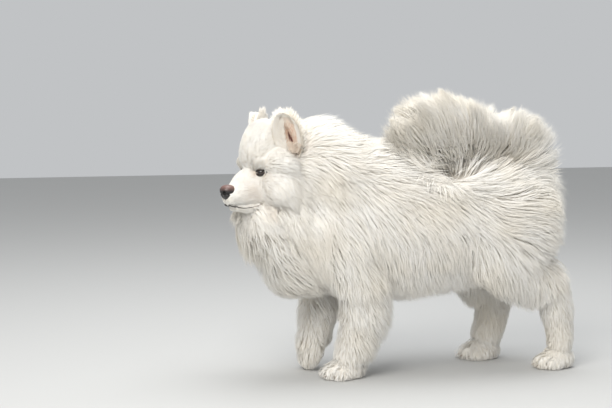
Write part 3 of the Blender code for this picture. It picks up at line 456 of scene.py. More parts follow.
def shapeEyeHollow(piece, sign):
    # the skin runs onto the lids' ball round the eye, and behind the eye within their opening
    look, level, upward = eyeAxes(sign)
    centre = Vector(mirrored(eye["place"], sign))
    shape = bmesh.new()
    shape.from_mesh(piece.data)
    near = [e for e in shape.edges if (e.verts[0].co - centre).length < eye["finerReach"]]
    bmesh.ops.subdivide_edges(shape, edges=near, cuts=2, use_grid_fill=True)
    ballRadius = eye["radius"] + eye["lidThick"] - 0.0004
    for vert in shape.verts:
        away = vert.co - centre
        if away.length > eye["hollowReach"] or away.dot(look) < -0.004:
            continue
        across, high = away.dot(level), away.dot(upward)
        side = max(math.hypot(across, high), 1e-6)
        blend = clamp((eye["blendTo"] - side) / (eye["blendTo"] - eye["blendFrom"]))
        blend = blend * blend * (3 - 2 * blend)
        radius = away.length + (ballRadius - away.length) * blend
        edge = math.sin(min(lidOpening(across / side, high / side) / eye["radius"], 1.5)) * ballRadius
        if side < edge + 0.0010:
            radius = eye["radius"] - eye["behind"]
        vert.co = centre + away.normalized() * radius
    shape.to_mesh(piece.data)
    shape.free()


def mouthBlade():
    line = [Vector(p) for p in mouth["line"]]
    line = [Vector(mirrored(p, -1)) for p in line[:0:-1]] + line
    points = []
    for p in line:
        inward = Vector((0.55 * (0.045 - p.x) - 0.012, -p.y, 0)).normalized()
        for reach in (0.012, -mouth["deep"]):
            for high in (-mouth["gap"] / 2, mouth["gap"] / 2):
                points.append(p - inward * reach + Vector((0, 0, high if reach > 0 else high * 0.4)))
    faces = [(0, 1, 3, 2)]
    last = 4 * (len(line) - 1)
    faces.append((last, last + 1, last + 3, last + 2))
    for k in range(len(line) - 1):
        a, b = 4 * k, 4 * k + 4
        faces += [(a + p, a + q, b + q, b + p) for p, q in ((0, 1), (1, 3), (3, 2), (2, 0))]
    made = addMesh("mouth", points, faces)
    pointOut(made)
    return made


def makeHeadSkin():
    forms = [tube(head["muzzle"]), tube(head["jaw"])]
    for row in head["forms"]:
        for sign in (1, -1) if row[1] else (1,):
            radii = [r - body["inside"] * row[6] for r in row[3:6]]
            forms.append(ball(mirrored(row, sign), radii))
    made = meltTogether(joinAll("headSkin", forms), head["voxel"], head["smoothing"])
    broad = made.vertex_groups.new(name="broad")
    for vert in made.data.vertices:
        broad.add([vert.index], clamp((head["broadFrom"] - vert.co.x) / 0.03), "REPLACE")
    soften = made.modifiers.new("Smooth", "SMOOTH")
    soften.iterations = head["broadSmoothing"]
    soften.vertex_group = "broad"
    applyAll(made)
    unite(made, [mouthBlade()], "DIFFERENCE")
    for sign in (1, -1):
        shapeEyeHollow(made, sign)
    made.data.transform(headFrame)
    return made


def pawFrame(stand):
    middle, dip, out = stand
    turn = Matrix.Rotation(math.pi + math.radians(out), 4, "Z") @ Matrix.Rotation(math.radians(dip), 4, "Y")
    return Matrix.Translation(middle) @ turn


def makePawSkin(stand):
    forms = [ball(row[:3], row[3:6], 20, 12) for row in paws["forms"]]
    made = meltTogether(joinAll("pawSkin", forms), paws["voxel"], 2)
    made.data.transform(pawFrame(stand))
    return made


def makeSkin():
    forms = [tube(body[part]) for part in
             ("trunk", "neck", "bib", "leftFore", "rightFore", "leftHind", "rightHind", "tail")]
    made = meltTogether(joinAll("skin", forms), body["voxel"], body["smoothing"])
    others = [makeHeadSkin()] + [makePawSkin(stand) for stand in paws["stand"]]
    unite(made, others)
    triangulate(made)
    for vert in made.data.vertices:
        vert.co.z = max(vert.co.z, 0.0)
    shadeSmooth(made)
    return made


skin = makeSkin()
skinTree = treeOf(skin.data)
print("skin", len(skin.data.polygons))


# Eyes, lids, nose, lips, ears and claws
def makeEye(name, sign):
    look, level, upward = eyeAxes(sign)
    turn = Matrix((level, upward, look)).transposed().to_4x4()
    made = ball((0, 0, 0), (1, 1, 1), 48, 32)
    made.name = name
    gaze = []
    for vert in made.data.vertices:
        away = math.acos(clamp(vert.co.z, -1.0))
        gaze.append(away)
        bulge = max(0.0, 1 - (away / eye["corneaReach"]) ** 2)
        vert.co *= eye["radius"] * (1 + eye["cornea"] * bulge)
    setFields(made.data, gaze=gaze)
    made.data.transform(headFrame @ Matrix.Translation(mirrored(eye["place"], sign)) @ turn)
    shadeSmooth(made)
    return made


def makeLids(sign):
    # both lids as one closed shell round an almond opening, their edge rounded
    look, level, upward = eyeAxes(sign)
    centre = Vector(mirrored(eye["place"], sign))
    inner = eye["radius"] * 1.062
    outer = eye["radius"] + eye["lidThick"]
    steps = 64
    points, rimShare = [], []
    for j in range(steps):
        angle = 2 * math.pi * j / steps
        across, high = math.cos(angle), math.sin(angle)
        opening = lidOpening(across, high) / inner
        rim = math.hypot(eye["rimLength"] * across, eye["rimHeight"] * high) / inner
        wide = max(eye["lidReach"] - opening, rim * 1.9)
        thick = 0.0007 if high > 0 else 0.0002
        profile = ((0.0, inner, 1), (-0.02, (inner + outer) / 2, 1), (0.03, outer + thick, 1),
                   (0.5 * rim, outer + 0.0003 + thick, 1), (rim, outer + 0.0001, 0.85),
                   (rim * 1.5, outer - 0.0008, 0), (wide, outer - 0.0016, 0), (wide, inner - 0.0006, 0),
                   (wide / 2, inner, 0))
        for turn, radius, dark in profile:
            turn += opening
            out = look * math.cos(turn) + (level * across + upward * high) * math.sin(turn)
            points.append(centre + out * radius)
            reach = math.sin(min(turn, math.pi / 2)) * radius
            rimShare.append(max(dark, darkAround(across * reach, high * reach)))
    rows = len(profile)
    faces = []
    for j in range(steps):
        n = (j + 1) % steps
        faces += [(rows * j + k, rows * n + k, rows * n + (k + 1) % rows, rows * j + (k + 1) % rows)
                  for k in range(rows)]
    made = addMesh("lids", points, faces)
    setFields(made.data, dark=rimShare)
    return onHead(made)


def makeNose():
    made = ball((0, 0, 0), (1, 1, 1), 96, 64)
    made.name = "noseLeather"
    turn = Matrix.Rotation(math.radians(90), 3, "Y")
    deep, holeWide, holeHigh = nose["nostrilSize"]
    top, pit = [], []
    for vert in made.data.vertices:
        way = turn @ vert.co
        above, below, ahead = max(0.0, way.z), max(0.0, -way.z), max(0.0, way.x)
        # a blunt front, a flat top that overhangs, and sides drawn in below
        p = Vector([math.copysign(abs(c) ** nose["blunt"], c) * size for c, size in zip(way, nose["size"])])
        p.y *= 1.0 - nose["narrowing"] * below ** 1.3
        p.x += nose["overhang"] * above * ahead - nose["tuck"] * below * ahead
        groove = math.exp(-(p.y / nose["grooveWidth"]) ** 2) * clamp(0.5 - way.z) * ahead
        depth = 0.0
        for sign in (1, -1):
            side = p.y * sign
            # the nostril is a comma: a round hole whose tail runs out sideways and back
            hole = math.exp(-(((side - nose["nostril"][0]) / holeWide) ** 2
                              + ((p.z - nose["nostril"][1] - 0.25 * (side - 0.009)) / holeHigh) ** 2) ** 1.6)
            slit = math.exp(-(((side - nose["slit"][0]) / nose["slitSize"][0]) ** 2
                              + ((p.z - nose["slit"][1]) / nose["slitSize"][1]) ** 2) ** 1.5)
            if way.x > -0.1:
                depth = max(depth, hole if way.x > 0.2 else 0.0, 0.65 * slit)
            wing = math.exp(-((side - nose["wing"][0]) / nose["wingSize"]) ** 2
                            - ((p.z - nose["wing"][1]) / nose["wingSize"]) ** 2)
            p.x += nose["wingBulge"] * wing * ahead
        p.x -= nose["grooveDepth"] * groove
        p -= Vector((0.9, 0.35 * math.copysign(1, p.y), 0)).normalized() * deep * depth
        top.append(0.5 + 0.5 * way.z)
        # the hollow's depth, painted darker as the shade inside the nostrils and their slits
        pit.append(depth)
        vert.co = p
    setFields(made.data, top=top, pit=pit)
    made.data.transform(headFrame @ Matrix.Translation(nose["place"]))
    shadeSmooth(made)
    return made


def makeLips():
    # a dark bead sunk in the skin along the lips' line, with a short stem up to the nose
    line = [Vector(p) for p in mouth["line"]]
    path = [Vector(mirrored(p, -1)) for p in line[:0:-1]] + line
    stem = [line[0] + Vector((0.002, 0.0, c)) for c in (0.0, 0.005, 0.010, 0.014)]
    beads = []
    for route, thick in ((path, mouth["lip"]), (stem, mouth["lip"] * 0.6)):
        fine = curveThrough(route, 5)
        curve = bpy.data.curves.new("bead", "CURVE")
        curve.dimensions = "3D"
        curve.bevel_depth = thick
        curve.bevel_resolution = 3
        curve.use_fill_caps = True
        spline = curve.splines.new("POLY")
        spline.points.add(len(fine) - 1)
        for i, p in enumerate(fine):
            outward = Vector((0.6 * (p.x - 0.02), p.y, 0)).normalized()
            start = headFrame @ (p + outward * 0.02)
            hit = skinTree.ray_cast(start, headFrame.to_3x3() @ -outward, 0.03)[0]
            spot = headFrame.inverted() @ hit if hit is not None else p
            spot = p + outward * clamp((spot - p).dot(outward), -0.012, 0.003)
            spline.points[i].co = (*(spot - outward * thick * 0.35), 1.0)
            end = min(i, len(fine) - 1 - i) / 10
            spline.points[i].radius = min(1.0, 0.30 + 0.45 * end) if route is path else 1.0
        activate(addObject("bead", curve))
        bpy.ops.object.convert(target="MESH")
        beads.append(active())
    made = joinAll("lips", beads)
    setFields(made.data, corner=[clamp((0.035 - vert.co.x) / 0.04) for vert in made.data.vertices])
    return onHead(made)


def earAxes():
    # the way that the ear's mouth faces, and across it
    facing = np.array((math.cos(ear["facing"]), math.sin(ear["facing"]), 0))
    return facing, np.array((-facing[1], facing[0], 0))


def earPoints(u, v, sign, depth):
    # u across from -1 in front to 1 behind, v from below the base to the tip, both as rows of numbers
    u, v = np.asarray(u, float), np.asarray(v, float)
    base, tip = np.array(ear["base"]), np.array(ear["tip"])
    shrink = np.sqrt(np.maximum(0.0, 1 - np.maximum(0.0, (v - ear["round"]) / (1 - ear["round"])) ** 2))
    facing, across = earAxes()
    # a deep fold runs up from the ear's mouth
    fold = np.exp(-((u - 0.17 + 0.5 * (v - 0.05)) / 0.16) ** 2) * np.maximum(0.0, 1 - ((v - 0.24) / 0.34) ** 2)
    out = ear["hollow"] * (u * u - 0.55) * shrink - depth - ear["fold"] * fold * (1 if depth == 0 else 0.8)
    shrink = shrink * np.clip(1 + 1.2 * v, 0.4, 1.0)
    spots = base + (tip - base) * v[..., None] + across * (u * ear["halfWidth"] * shrink)[..., None]
    spots = spots + facing * out[..., None]
    return spots * (1, sign, 1), fold


def makeEar(name, sign):
    columns, rows = ear["columns"], ear["rows"]
    across = [math.sin(math.pi * (i / columns - 0.5)) for i in range(columns + 1)]
    up = [-0.35 + 1.345 * math.sin(math.pi / 2 * j / rows) for j in range(rows + 1)]
    v, u = [grid.ravel() for grid in np.meshgrid(up, across, indexing="ij")]
    inside, fold = earPoints(u, v, sign, 0)
    outside = inside + (earPoints(u, v, sign, ear["thick"])[0] - inside) * (1 - 0.6 * u * u)[:, None]
    rim = np.maximum(np.abs(u), (v - 0.2) / 0.8)
    points = np.vstack([inside, outside])
    # the fold's share, which the ear's material paints dark as the shade inside the fold
    slit = np.concatenate([fold, 0 * fold])
    within = np.concatenate([np.clip((0.92 - rim) / 0.45, 0, 1), 0 * fold])
    row = columns + 1
    back = row * (rows + 1)
    faces = []
    for j in range(rows):
        for i in range(columns):
            a = j * row + i
            faces.append((a, a + 1, a + row + 1, a + row))
            faces.append((a + back, a + back + 1, a + back + row + 1, a + back + row))
        for i in (0, columns):
            a = j * row + i
            faces.append((a, a + row, a + row + back, a + back))
    for i in range(columns):
        for j in (0, rows):
            a = j * row + i
            faces.append((a, a + 1, a + 1 + back, a + back))
    made = addMesh(name, points, faces)
    setFields(made.data, slit=slit, within=within)
    return onHead(made)


def makeClaws():
    claws = []
    for stand in paws["stand"]:
        for x, y in paws["claws"]:
            bpy.ops.mesh.primitive_cone_add(vertices=14, radius1=paws["clawRadius"], radius2=0.0006,
                                            depth=paws["clawLength"], end_fill_type="TRIFAN",
                                            rotation=(0, math.radians(90), 0))
            claw = active()
            inEditMode(bpy.ops.mesh.subdivide, number_cuts=4)
            bpy.ops.object.transform_apply(location=True, rotation=True, scale=True)
            for vert in claw.data.vertices:
                ahead = vert.co.x / paws["clawLength"] + 0.5
                vert.co.z = vert.co.z * 1.15 - paws["clawDrop"] * ahead * ahead
                vert.co.y *= 0.85
            forward, height = paws["clawPlace"]
            claw.data.transform(pawFrame(stand) @ Matrix.Translation((x + forward, y, height)))
            for vert in claw.data.vertices:
                vert.co.z = max(vert.co.z, 0.0004)
            shadeSmooth(claw)
            claws.append(claw)
    return joinAll("claws", claws)


eyes = [makeEye("eyeLeft", 1), makeEye("eyeRight", -1)]
lids = joinAll("lids", [makeLids(1), makeLids(-1)])
noseLeather = makeNose()
lips = makeLips()
ears = [makeEar("earLeft", 1), makeEar("earRight", -1)]
claws = makeClaws()
print("features made")


# The coat
def lieTable():
    # guides of both sides in one table: place, way, length, lift
    rows = []
    for table, matrix in ((bodyLie, Matrix()), (headLie, headFrame)):
        for x, y, z, *way, length, lift in table:
            for sign in (1, -1) if y else (1,):
                spot = matrix @ Vector((x / 1000, y * sign / 1000, z / 1000))
                turned = matrix.to_3x3() @ Vector(mirrored(way, sign)).normalized()
                rows.append((*spot, *turned, length / 1000, lift))
    return np.array(rows)


guides = lieTable()
headBack = np.array(headFrame.inverted())


def inHeadFrame(spots):
    return spots @ headBack[:3, :3].T + headBack[:3, 3]


def onLeft(spots):
    # in the head's frame, with its right side laid on the left
    local = inHeadFrame(spots)
    local[:, 1] = np.abs(local[:, 1])
    return local


def tanAt(spots):
    # warm tan stains at the inner corners of the eyes, the mouth's corners and the ears' mouths
    local = onLeft(spots)
    tan = np.zeros(len(spots))
    for *spot, reach, strength in stains:
        apart = np.linalg.norm(local - np.array(spot) / 1000, axis=1)
        tan = np.maximum(tan, strength * np.exp(-(apart / (reach / 1000)) ** 2))
    return tan


def lieAt(spots, fan):
    # the coat's way, length and lift at each spot; fan is how far it belongs to the tail's fan
    way = np.zeros((len(spots), 3))
    length = np.zeros(len(spots))
    lift = np.zeros(len(spots))
    for a in range(0, len(spots), 20000):
        part = slice(a, a + 20000)
        apart = np.linalg.norm(spots[part, None, :] - guides[None, :, :3], axis=2) + 0.006
        weight = apart ** -4
        weight /= weight.sum(axis=1)[:, None]
        mixed = weight @ guides[:, 3:]
        way[part], length[part], lift[part] = mixed[:, :3], mixed[:, 3], mixed[:, 4]
    away = spots - np.array(tailLie["centre"])
    away[:, 1] *= tailLie["sideways"]
    way = unit(way) * (1 - fan)[:, None] + unit(away) * fan[:, None]
    length = length * (1 - fan) + np.interp(spots[:, 0], tailLie["from"], tailLie["length"]) * fan
    lift = lift * (1 - fan) + tailLie["lift"] * fan
    return unit(way), length, lift


def fanShare(spots, kind):
    if kind == "tail":
        return np.ones(len(spots))
    if kind != "body":
        return np.zeros(len(spots))
    high = np.clip((spots[:, 2] - 0.450) / 0.06, 0, 1)
    return high * np.clip((spots[:, 0] - 0.15) / 0.06, 0, 1) * np.clip((0.53 - spots[:, 0]) / 0.05, 0, 1)


def unit(rows):
    return rows / np.maximum(np.linalg.norm(rows, axis=1), 1e-9)[:, None]


def onSkin(spots):
    found = [skinTree.find_nearest(Vector(p)) for p in spots]
    return np.array([f[0] for f in found]), np.array([f[1] for f in found])


corners = readArray(skin.data.polygons, "vertices", 3, int)
skinSpots = readArray(skin.data.vertices, "co", 3)
vertexNormals = readArray(skin.data.vertices, "normal", 3)
faceSpots = skinSpots[corners]
faceArea = np.linalg.norm(np.cross(faceSpots[:, 1] - faceSpots[:, 0], faceSpots[:, 2] - faceSpots[:, 0]), axis=1) / 2
faceMiddle = faceSpots.mean(axis=1)


def darkOf(local, ahead):
    # how dark the skin round the eye is at each spot of the head's left side, from ahead of the eye on
    look, level, upward = (np.array(axis) for axis in eyeAxes(1))
    away = local - np.array(eye["place"])
    dark = np.zeros(len(local))
    for i in np.flatnonzero((np.linalg.norm(away, axis=1) < 0.03) & (away @ look > ahead)):
        dark[i] = darkAround(away[i] @ level, away[i] @ upward)
    return dark


setFields(skin.data, dark=darkOf(onLeft(skinSpots), -0.006), tan=tanAt(skinSpots))


def regions():
    # which kind of tuft grows on each face of the skin
    x, y, z = inHeadFrame(faceMiddle).T
    isHead = ((x > border["headBack"]) & (np.abs(y) < border["headSide"])
              & (z > border["headLow"]) & (z < border["headTop"]))
    x, y, z = faceMiddle.T
    isTail = (z > border["tailLow"]) & (x > border["tailFront"]) & ~isHead
    isTail |= (z > border["rumpLow"]) & (x > border["rumpFront"])
    kind = np.full(len(faceMiddle), "body")
    kind[isHead] = "head"
    kind[isTail] = "tail"
    kind[(z < border["legTop"]) & ~isHead] = "legs"
    return kind


def barren(spots):
    # where no tuft grows: nose, dark rims of the eyes, lips, the ears' mouths, soles
    local = onLeft(spots)
    bare = np.linalg.norm((local - np.array(nose["place"])) / (0.0180, 0.0180, 0.0170), axis=1) < 1.0
    bare |= darkOf(local, -0.004) > 0.2
    line = np.array(mouth["line"])
    for a, b in zip(line[:-1], line[1:]):
        t = np.clip(((local - a) @ (b - a)) / ((b - a) @ (b - a)), 0, 1)
        gap = local - (a + t[:, None] * (b - a))
        bare |= (np.abs(gap[:, 2]) < 0.0012) & (np.linalg.norm(gap, axis=1) < 0.010)
    facing, aside = earAxes()
    away = local - np.array(ear["base"])
    bare |= ((away @ facing > -0.014) & (away @ facing < 0.010) & (np.abs(away @ aside) < 0.024)
             & (away[:, 2] > -0.004))
    return bare | (spots[:, 2] < 0.004)


kinds = regions()
# the face has the finest tufts, and so the most
isFace = kinds == "head"
fineness = np.ones(len(faceMiddle))
fineness[isFace] = np.clip(1.0 + 2.4 * (inHeadFrame(faceMiddle)[isFace, 0] + 0.04) / 0.08, 0.8, 3.8)


def scatter(kind, count, draw, bareToo=False):
    # roots spread over the faces of one kind, by area
    weight = np.where(kinds == kind, faceArea * fineness, 0.0)
    total = np.cumsum(weight)
    pick = (np.arange(count) + draw.random(count)) / count * total[-1]
    chosen = np.searchsorted(total, pick)
    u, v = draw.random(count), draw.random(count)
    flip = u + v > 1
    u[flip], v[flip] = 1 - u[flip], 1 - v[flip]
    w = np.stack([1 - u - v, u, v], axis=1)[:, :, None]
    spots = (faceSpots[chosen] * w).sum(axis=1)
    normals = unit((vertexNormals[corners[chosen]] * w).sum(axis=1))
    if bareToo:
        return spots, normals
    keep = ~barren(spots)
    return spots[keep], normals[keep]


def grow(spots, normals, fan, scale, yaw, rings):
    # each hair's line: it leaves the skin, bends over and lies along the coat's way
    way, length, lift = lieAt(spots, fan)
    length = length * scale
    height = length * np.sin(np.radians(lift))
    lines = [spots - normals * coat["root"]]
    last = spots.copy()
    here, normal = spots, normals
    before = 0.0
    for t, rise in zip(coat["steps"][rings][1:], coat["rise"][rings][1:]):
        step = length * (t - before)
        before = t
        way = lieAt(last, fan)[0]
        sideways = unit(np.cross(normal, way))
        way = unit(way + sideways * yaw[:, None])
        out = (way * normal).sum(axis=1)
        flat = unit(way - normal * out[:, None])
        along, newNormal = onSkin(here + flat * (step * np.cos(np.radians(lift)))[:, None])
        lying = along + newNormal * (height * rise)[:, None]
        free = last + way * step[:, None]
        loose = np.clip((out - 0.15) / 0.5, 0.0, 0.85)[:, None]
        last = lying * (1 - loose) + free * loose
        here = along
        normal = unit(normal + newNormal)
        lines.append(last.copy())
    return np.stack(lines, axis=1)


def makeTufts(kind, settings, draw):
    rings, spacing = settings["rings"], settings["clump"]
    spots, normals = scatter(kind, int(settings["tufts"] * share), draw)
    wisp = draw.random(len(spots)) < coat["wisps"]
    scale = draw.uniform(0.76, 1.0, len(spots)) + np.where(wisp, 0.09, 0.0)
    lines = grow(spots, normals, fanShare(spots, kind), scale, draw.normal(0, coat["sway"], len(spots)), rings)
    # clumps: a tuft leans towards the line of the clump that it belongs to
    clumpCount = int(faceArea[kinds == kind].sum() / spacing ** 2)
    heartSpots, heartNormals = scatter(kind, clumpCount, draw, True)
    hearts = grow(heartSpots, heartNormals, fanShare(heartSpots, kind),
                  draw.uniform(settings["shortest"], 1.10, clumpCount),
                  draw.normal(0, settings["sway"], clumpCount), rings)
    pull = draw.uniform(0.5, 1.3, clumpCount) * settings["pull"]
    finder = KDTree(clumpCount)
    for i, p in enumerate(heartSpots):
        finder.insert(p, i)
    finder.balance()
    own = np.array([finder.find(p)[1] for p in spots + draw.normal(0, spacing * 0.22, spots.shape)])
    strength = np.array(coat["steps"][rings])[None, :] ** 1.3 * pull[own][:, None]
    strength *= np.where(wisp, 0.5, 1.0)[:, None]
    target = hearts[own] + (lines[:, :1] - hearts[own][:, :1]) * 0.15
    lines = lines + (target - lines) * strength[:, :, None]
    wave = draw.normal(0, 1, (len(lines), rings - 1, 3))
    lines[:, 2:] += wave * (scale * settings["wave"])[:, None, None]
    lines[:, 1:, 2] = np.maximum(lines[:, 1:, 2], coat["floor"])
    length = np.linalg.norm(np.diff(lines, axis=1), axis=2).sum(axis=1)
    wide = settings["halfWidth"] * draw.uniform(0.75, 1.3, len(spots)) * np.where(wisp, 0.55, 1.0)
    wide = np.minimum(wide, length * 0.075 + 0.0001)
    # tufts differ a little in tone, and clumps do too
    tone = np.clip(0.5 * draw.random(len(spots)) + 0.5 * draw.random(clumpCount)[own], 0, 1)
    return {"lines": lines, "normals": normals, "wide": wide, "roots": spots, "tone": tone, "tan": tanAt(spots)}


def earTufts(sign, draw):
    # short fur on the ear's back and rim, longer and cream in front of its mouth
    facing, aside = earAxes()
    rise = unit(np.array([ear["tip"]]) - np.array([ear["base"]]))[0]
    kindsOfFur = {
        # tufts, u from and to, v from and to, face, way (aside, up, forward), length, half width, lift, tan
        "back": (2600, -1.0, 1.0, -0.30, 0.98, 1, (0.0, 1.0, -0.05), 0.016, 0.00060, 30, 0.03),
        "frontRim": (1500, -1.0, -0.66, -0.15, 0.93, 0, (0.30, 1.0, 0.25), 0.018, 0.00060, 34, 0.03),
        "backRim": (1000, 0.80, 1.0, -0.10, 0.93, 0, (-0.25, 1.0, 0.25), 0.013, 0.00060, 34, 0.06),
        "topRim": (600, -0.9, 0.9, 0.86, 0.99, 0, (0.0, 1.0, 0.20), 0.008, 0.00055, 26, 0.03),
        "furnishing": (900, -0.95, -0.35, -0.20, 0.70, 0, (0.50, 0.8, 0.35), 0.020, 0.00055, 28, 0.05),
        "bottom": (520, -0.4, 0.95, -0.25, 0.06, 0, (0.80, 0.45, 0.50), 0.024, 0.00045, 34, 0.42),
        "fuzz": (1000, -0.75, 0.92, -0.05, 0.88, 0, (0.10, 1.0, 0.15), 0.008, 0.00035, 20, 0.22),
    }
    lines, normals, wide, roots, tan = [], [], [], [], []
    for count, u0, u1, v0, v1, face, way, length, half, lift, tint in kindsOfFur.values():
        count = int(count * share)
        u, v = draw.uniform(u0, u1, count), draw.uniform(v0, v1, count)
        depth = ear["thick"] * 0.8 if face else 0
        spots, fold = earPoints(u, v, 1, depth)
        du = earPoints(u + 0.02, v, 1, depth)[0] - earPoints(u - 0.02, v, 1, depth)[0]
        dv = earPoints(u, np.minimum(v + 0.02, 0.995), 1, depth)[0] - earPoints(u, v - 0.02, 1, depth)[0]
        normal = unit(np.cross(du, dv))
        normal *= np.sign(normal @ facing)[:, None] * (-1 if face else 1)
        keep = fold < 0.35
        spots, normal, u, v = spots[keep], normal[keep], u[keep], v[keep]
        lean = unit(aside * way[0] + rise * way[1] + facing * way[2] + aside * (0.35 * u)[:, None]
                    + draw.normal(0, 0.12, (len(u), 3)))
        lean = unit(lean - normal * np.minimum((lean * normal).sum(axis=1), 0)[:, None])
        long = length * draw.uniform(0.7, 1.15, len(u))
        tilt = math.radians(lift)
        points = [spots - normal * 0.001]
        for t, up in zip(coat["steps"][2][1:], coat["rise"][2][1:]):
            points.append(spots + (lean * math.cos(tilt) * t + normal * math.sin(tilt) * up) * long[:, None])
        lines.append(np.stack(points, axis=1))
        normals.append(normal)
        wide.append(half * draw.uniform(0.8, 1.25, len(u)))
        roots.append(spots)
        tan.append(np.full(len(u), tint))
    lines, normals, roots = np.vstack(lines), np.vstack(normals), np.vstack(roots)
    turn, shift = np.array(headFrame.to_3x3()), np.array(headFrame.translation)
    mirror = np.array((1, sign, 1))
    return {"lines": (lines * mirror) @ turn.T + shift, "normals": (normals * mirror) @ turn.T,
            "wide": np.concatenate(wide), "roots": (roots * mirror) @ turn.T + shift,
            "tone": draw.random(len(lines)), "tan": np.concatenate(tan)}


def tuftMesh(name, tufts, uvs, draw):
    # thin tapering bodies of three sides, closed at the root and running to a point
    lines, normals, wide = tufts["lines"], tufts["normals"], tufts["wide"]
    count, rings = len(lines), lines.shape[1] - 1
    each = 3 * rings + 1
    roll = draw.uniform(-coat["roll"], coat["roll"], count)
    points, shade, under = (np.empty((count, each, 3)) for _ in range(3))
    for k in range(rings):
        along = unit(lines[:, k + 1] - lines[:, max(k - 1, 0)])
        side = unit(np.cross(along, normals))
        up = np.cross(side, along)
        turnedSide = side * np.cos(roll)[:, None] + up * np.sin(roll)[:, None]
        turnedUp = np.cross(turnedSide, along)
        w = (wide * coat["breadth"][rings][k])[:, None]
        h = w * coat["flatness"]
        middle = lines[:, k]
        points[:, 3 * k] = middle - turnedSide * w - turnedUp * h * 0.5
        points[:, 3 * k + 1] = middle + turnedUp * h
        points[:, 3 * k + 2] = middle + turnedSide * w - turnedUp * h * 0.5
        for j, own in enumerate((-turnedSide * 0.8 + turnedUp * 0.6, turnedUp, turnedSide * 0.8 + turnedUp * 0.6)):
            shade[:, 3 * k + j] = own
            under[:, 3 * k + j] = -turnedUp + (-turnedSide, 0 * turnedUp, turnedSide)[j] * 0.5
    points[:, -1] = lines[:, -1]
    shade[:, -1] = shade[:, -3]
    under[:, -1] = -turnedUp
    shade = shade * coat["roundness"] + normals[:, None, :] * (1 - coat["roundness"])
    pattern = []
    for k in range(rings - 1):
        for j in range(3):
            n = (j + 1) % 3
            pattern.append((3 * k + j, 3 * k + n, 3 * k + 3 + n))
            pattern.append((3 * k + j, 3 * k + 3 + n, 3 * k + 3 + j))
    for j in range(3):
        pattern.append((3 * rings - 3 + j, 3 * rings - 3 + (j + 1) % 3, 3 * rings))
    pattern.append((0, 2, 1))
    faces = (np.array(pattern)[None] + np.arange(count)[:, None, None] * each).reshape(-1, 3)
    mesh = bpy.data.meshes.new(name)
    mesh.vertices.add(count * each)
    mesh.vertices.foreach_set("co", points.reshape(-1))
    mesh.loops.add(faces.size)
    mesh.loops.foreach_set("vertex_index", faces.reshape(-1))
    mesh.polygons.add(len(faces))
    mesh.polygons.foreach_set("loop_start", np.arange(0, faces.size, 3))
    mesh.update(calc_edges=True)
    mesh.polygons.foreach_set("use_smooth", np.ones(len(faces), bool))
    along = np.repeat(coat["steps"][rings], 3)[:each]
    setFields(mesh, along=np.tile(along, count), tone=np.repeat(tufts["tone"], each),
              tan=np.repeat(tufts["tan"], each))
    layer = mesh.uv_layers.new(name="OFBake")
    across = np.append(np.tile((-0.5, 0.0, 0.5), rings), 0.0)
    patch = np.stack([across, along - 0.5], axis=1) * coat["patch"]
    spread = np.clip(uvs[:, None, :] + patch[None], 0, 1)
    layer.data.foreach_set("uv", spread.reshape(-1, 2)[faces.reshape(-1)].reshape(-1))
    made = addObject(name, mesh)
    volume = np.einsum("ij,ij->i", points[:, 0] - points[:, -1],
                       np.cross(points[:, 1] - points[:, -1], points[:, 2] - points[:, -1]))
    flipped = np.median(volume) > 0
    if flipped:
        mesh.flip_normals()
    # three loops of every triangle, in the order of the pattern; every third side is the underside
    below = np.array([set(face) <= {3 * k + j for k in range(rings) for j in (0, 2)} | {3 * rings}
                      for face in pattern])
    corner = np.empty((count, len(pattern), 3, 3))
    corner[:, ~below] = shade[:, np.array(pattern)[~below]]
    corner[:, below] = under[:, np.array(pattern)[below]]
    if flipped:
        corner = corner[:, :, (0, 2, 1)]
    mesh.normals_split_custom_set(unit(corner.reshape(-1, 3)).tolist())
    return made


def unwrapSkin():
    # a coarse copy of the skin, unwrapped, gives each root its place on the coat's map
    copy = joinAll("unwrap", [addObject("unwrap", piece.data.copy()) for piece in [skin] + ears])
    fewer = copy.modifiers.new("Decimate", "DECIMATE")
    fewer.ratio = coat["coarse"] / len(copy.data.polygons)
    applyAll(copy)
    triangulate(copy)
    inEditMode(bpy.ops.uv.smart_project, angle_limit=math.radians(66), island_margin=0.004)
    mesh = copy.data
    tree = treeOf(mesh)
    uv = readArray(mesh.uv_layers.active.data, "uv", 2).reshape(-1, 3, 2)
    places = np.array([[mesh.vertices[i].co for i in p.vertices] for p in mesh.polygons])
    bpy.data.objects.remove(copy)

    def lookUp(spots):
        found = [tree.find_nearest(Vector(p)) for p in spots]
        face = np.array([f[2] for f in found])
        spot = np.array([f[0] for f in found])
        a, b, c = places[face, 0], places[face, 1], places[face, 2]
        whole = np.linalg.norm(np.cross(b - a, c - a), axis=1) + 1e-12
        wa = np.linalg.norm(np.cross(b - spot, c - spot), axis=1) / whole
        wb = np.linalg.norm(np.cross(a - spot, c - spot), axis=1) / whole
        wc = np.clip(1 - wa - wb, 0, 1)
        return wa[:, None] * uv[face, 0] + wb[:, None] * uv[face, 1] + wc[:, None] * uv[face, 2]
    return lookUp


uvOf = unwrapSkin()
print("skin unwrapped")
draw = np.random.default_rng(coat["seed"])
coatPieces = []
grown = {kind: makeTufts(kind, coat[kind], draw) for kind in ("body", "tail", "legs", "head")}
for name, sign in (("earLeft", 1), ("earRight", -1)):
    grown[name] = earTufts(sign, draw)
for kind, tufts in grown.items():
    uvs = uvOf(tufts["roots"])
    rings = tufts["lines"].shape[1] - 1
    order = np.argsort(tufts["roots"][:, 0])
    pieceCount = math.ceil(len(order) / coat["perPiece"][rings])
    for i, part in enumerate(np.array_split(order, pieceCount)):
        chosen = {key: values[part] for key, values in tufts.items()}
        coatPieces.append(tuftMesh("coat_%s_%d" % (kind, i + 1), chosen, uvs[part], draw))
    print("coat", kind, len(order))


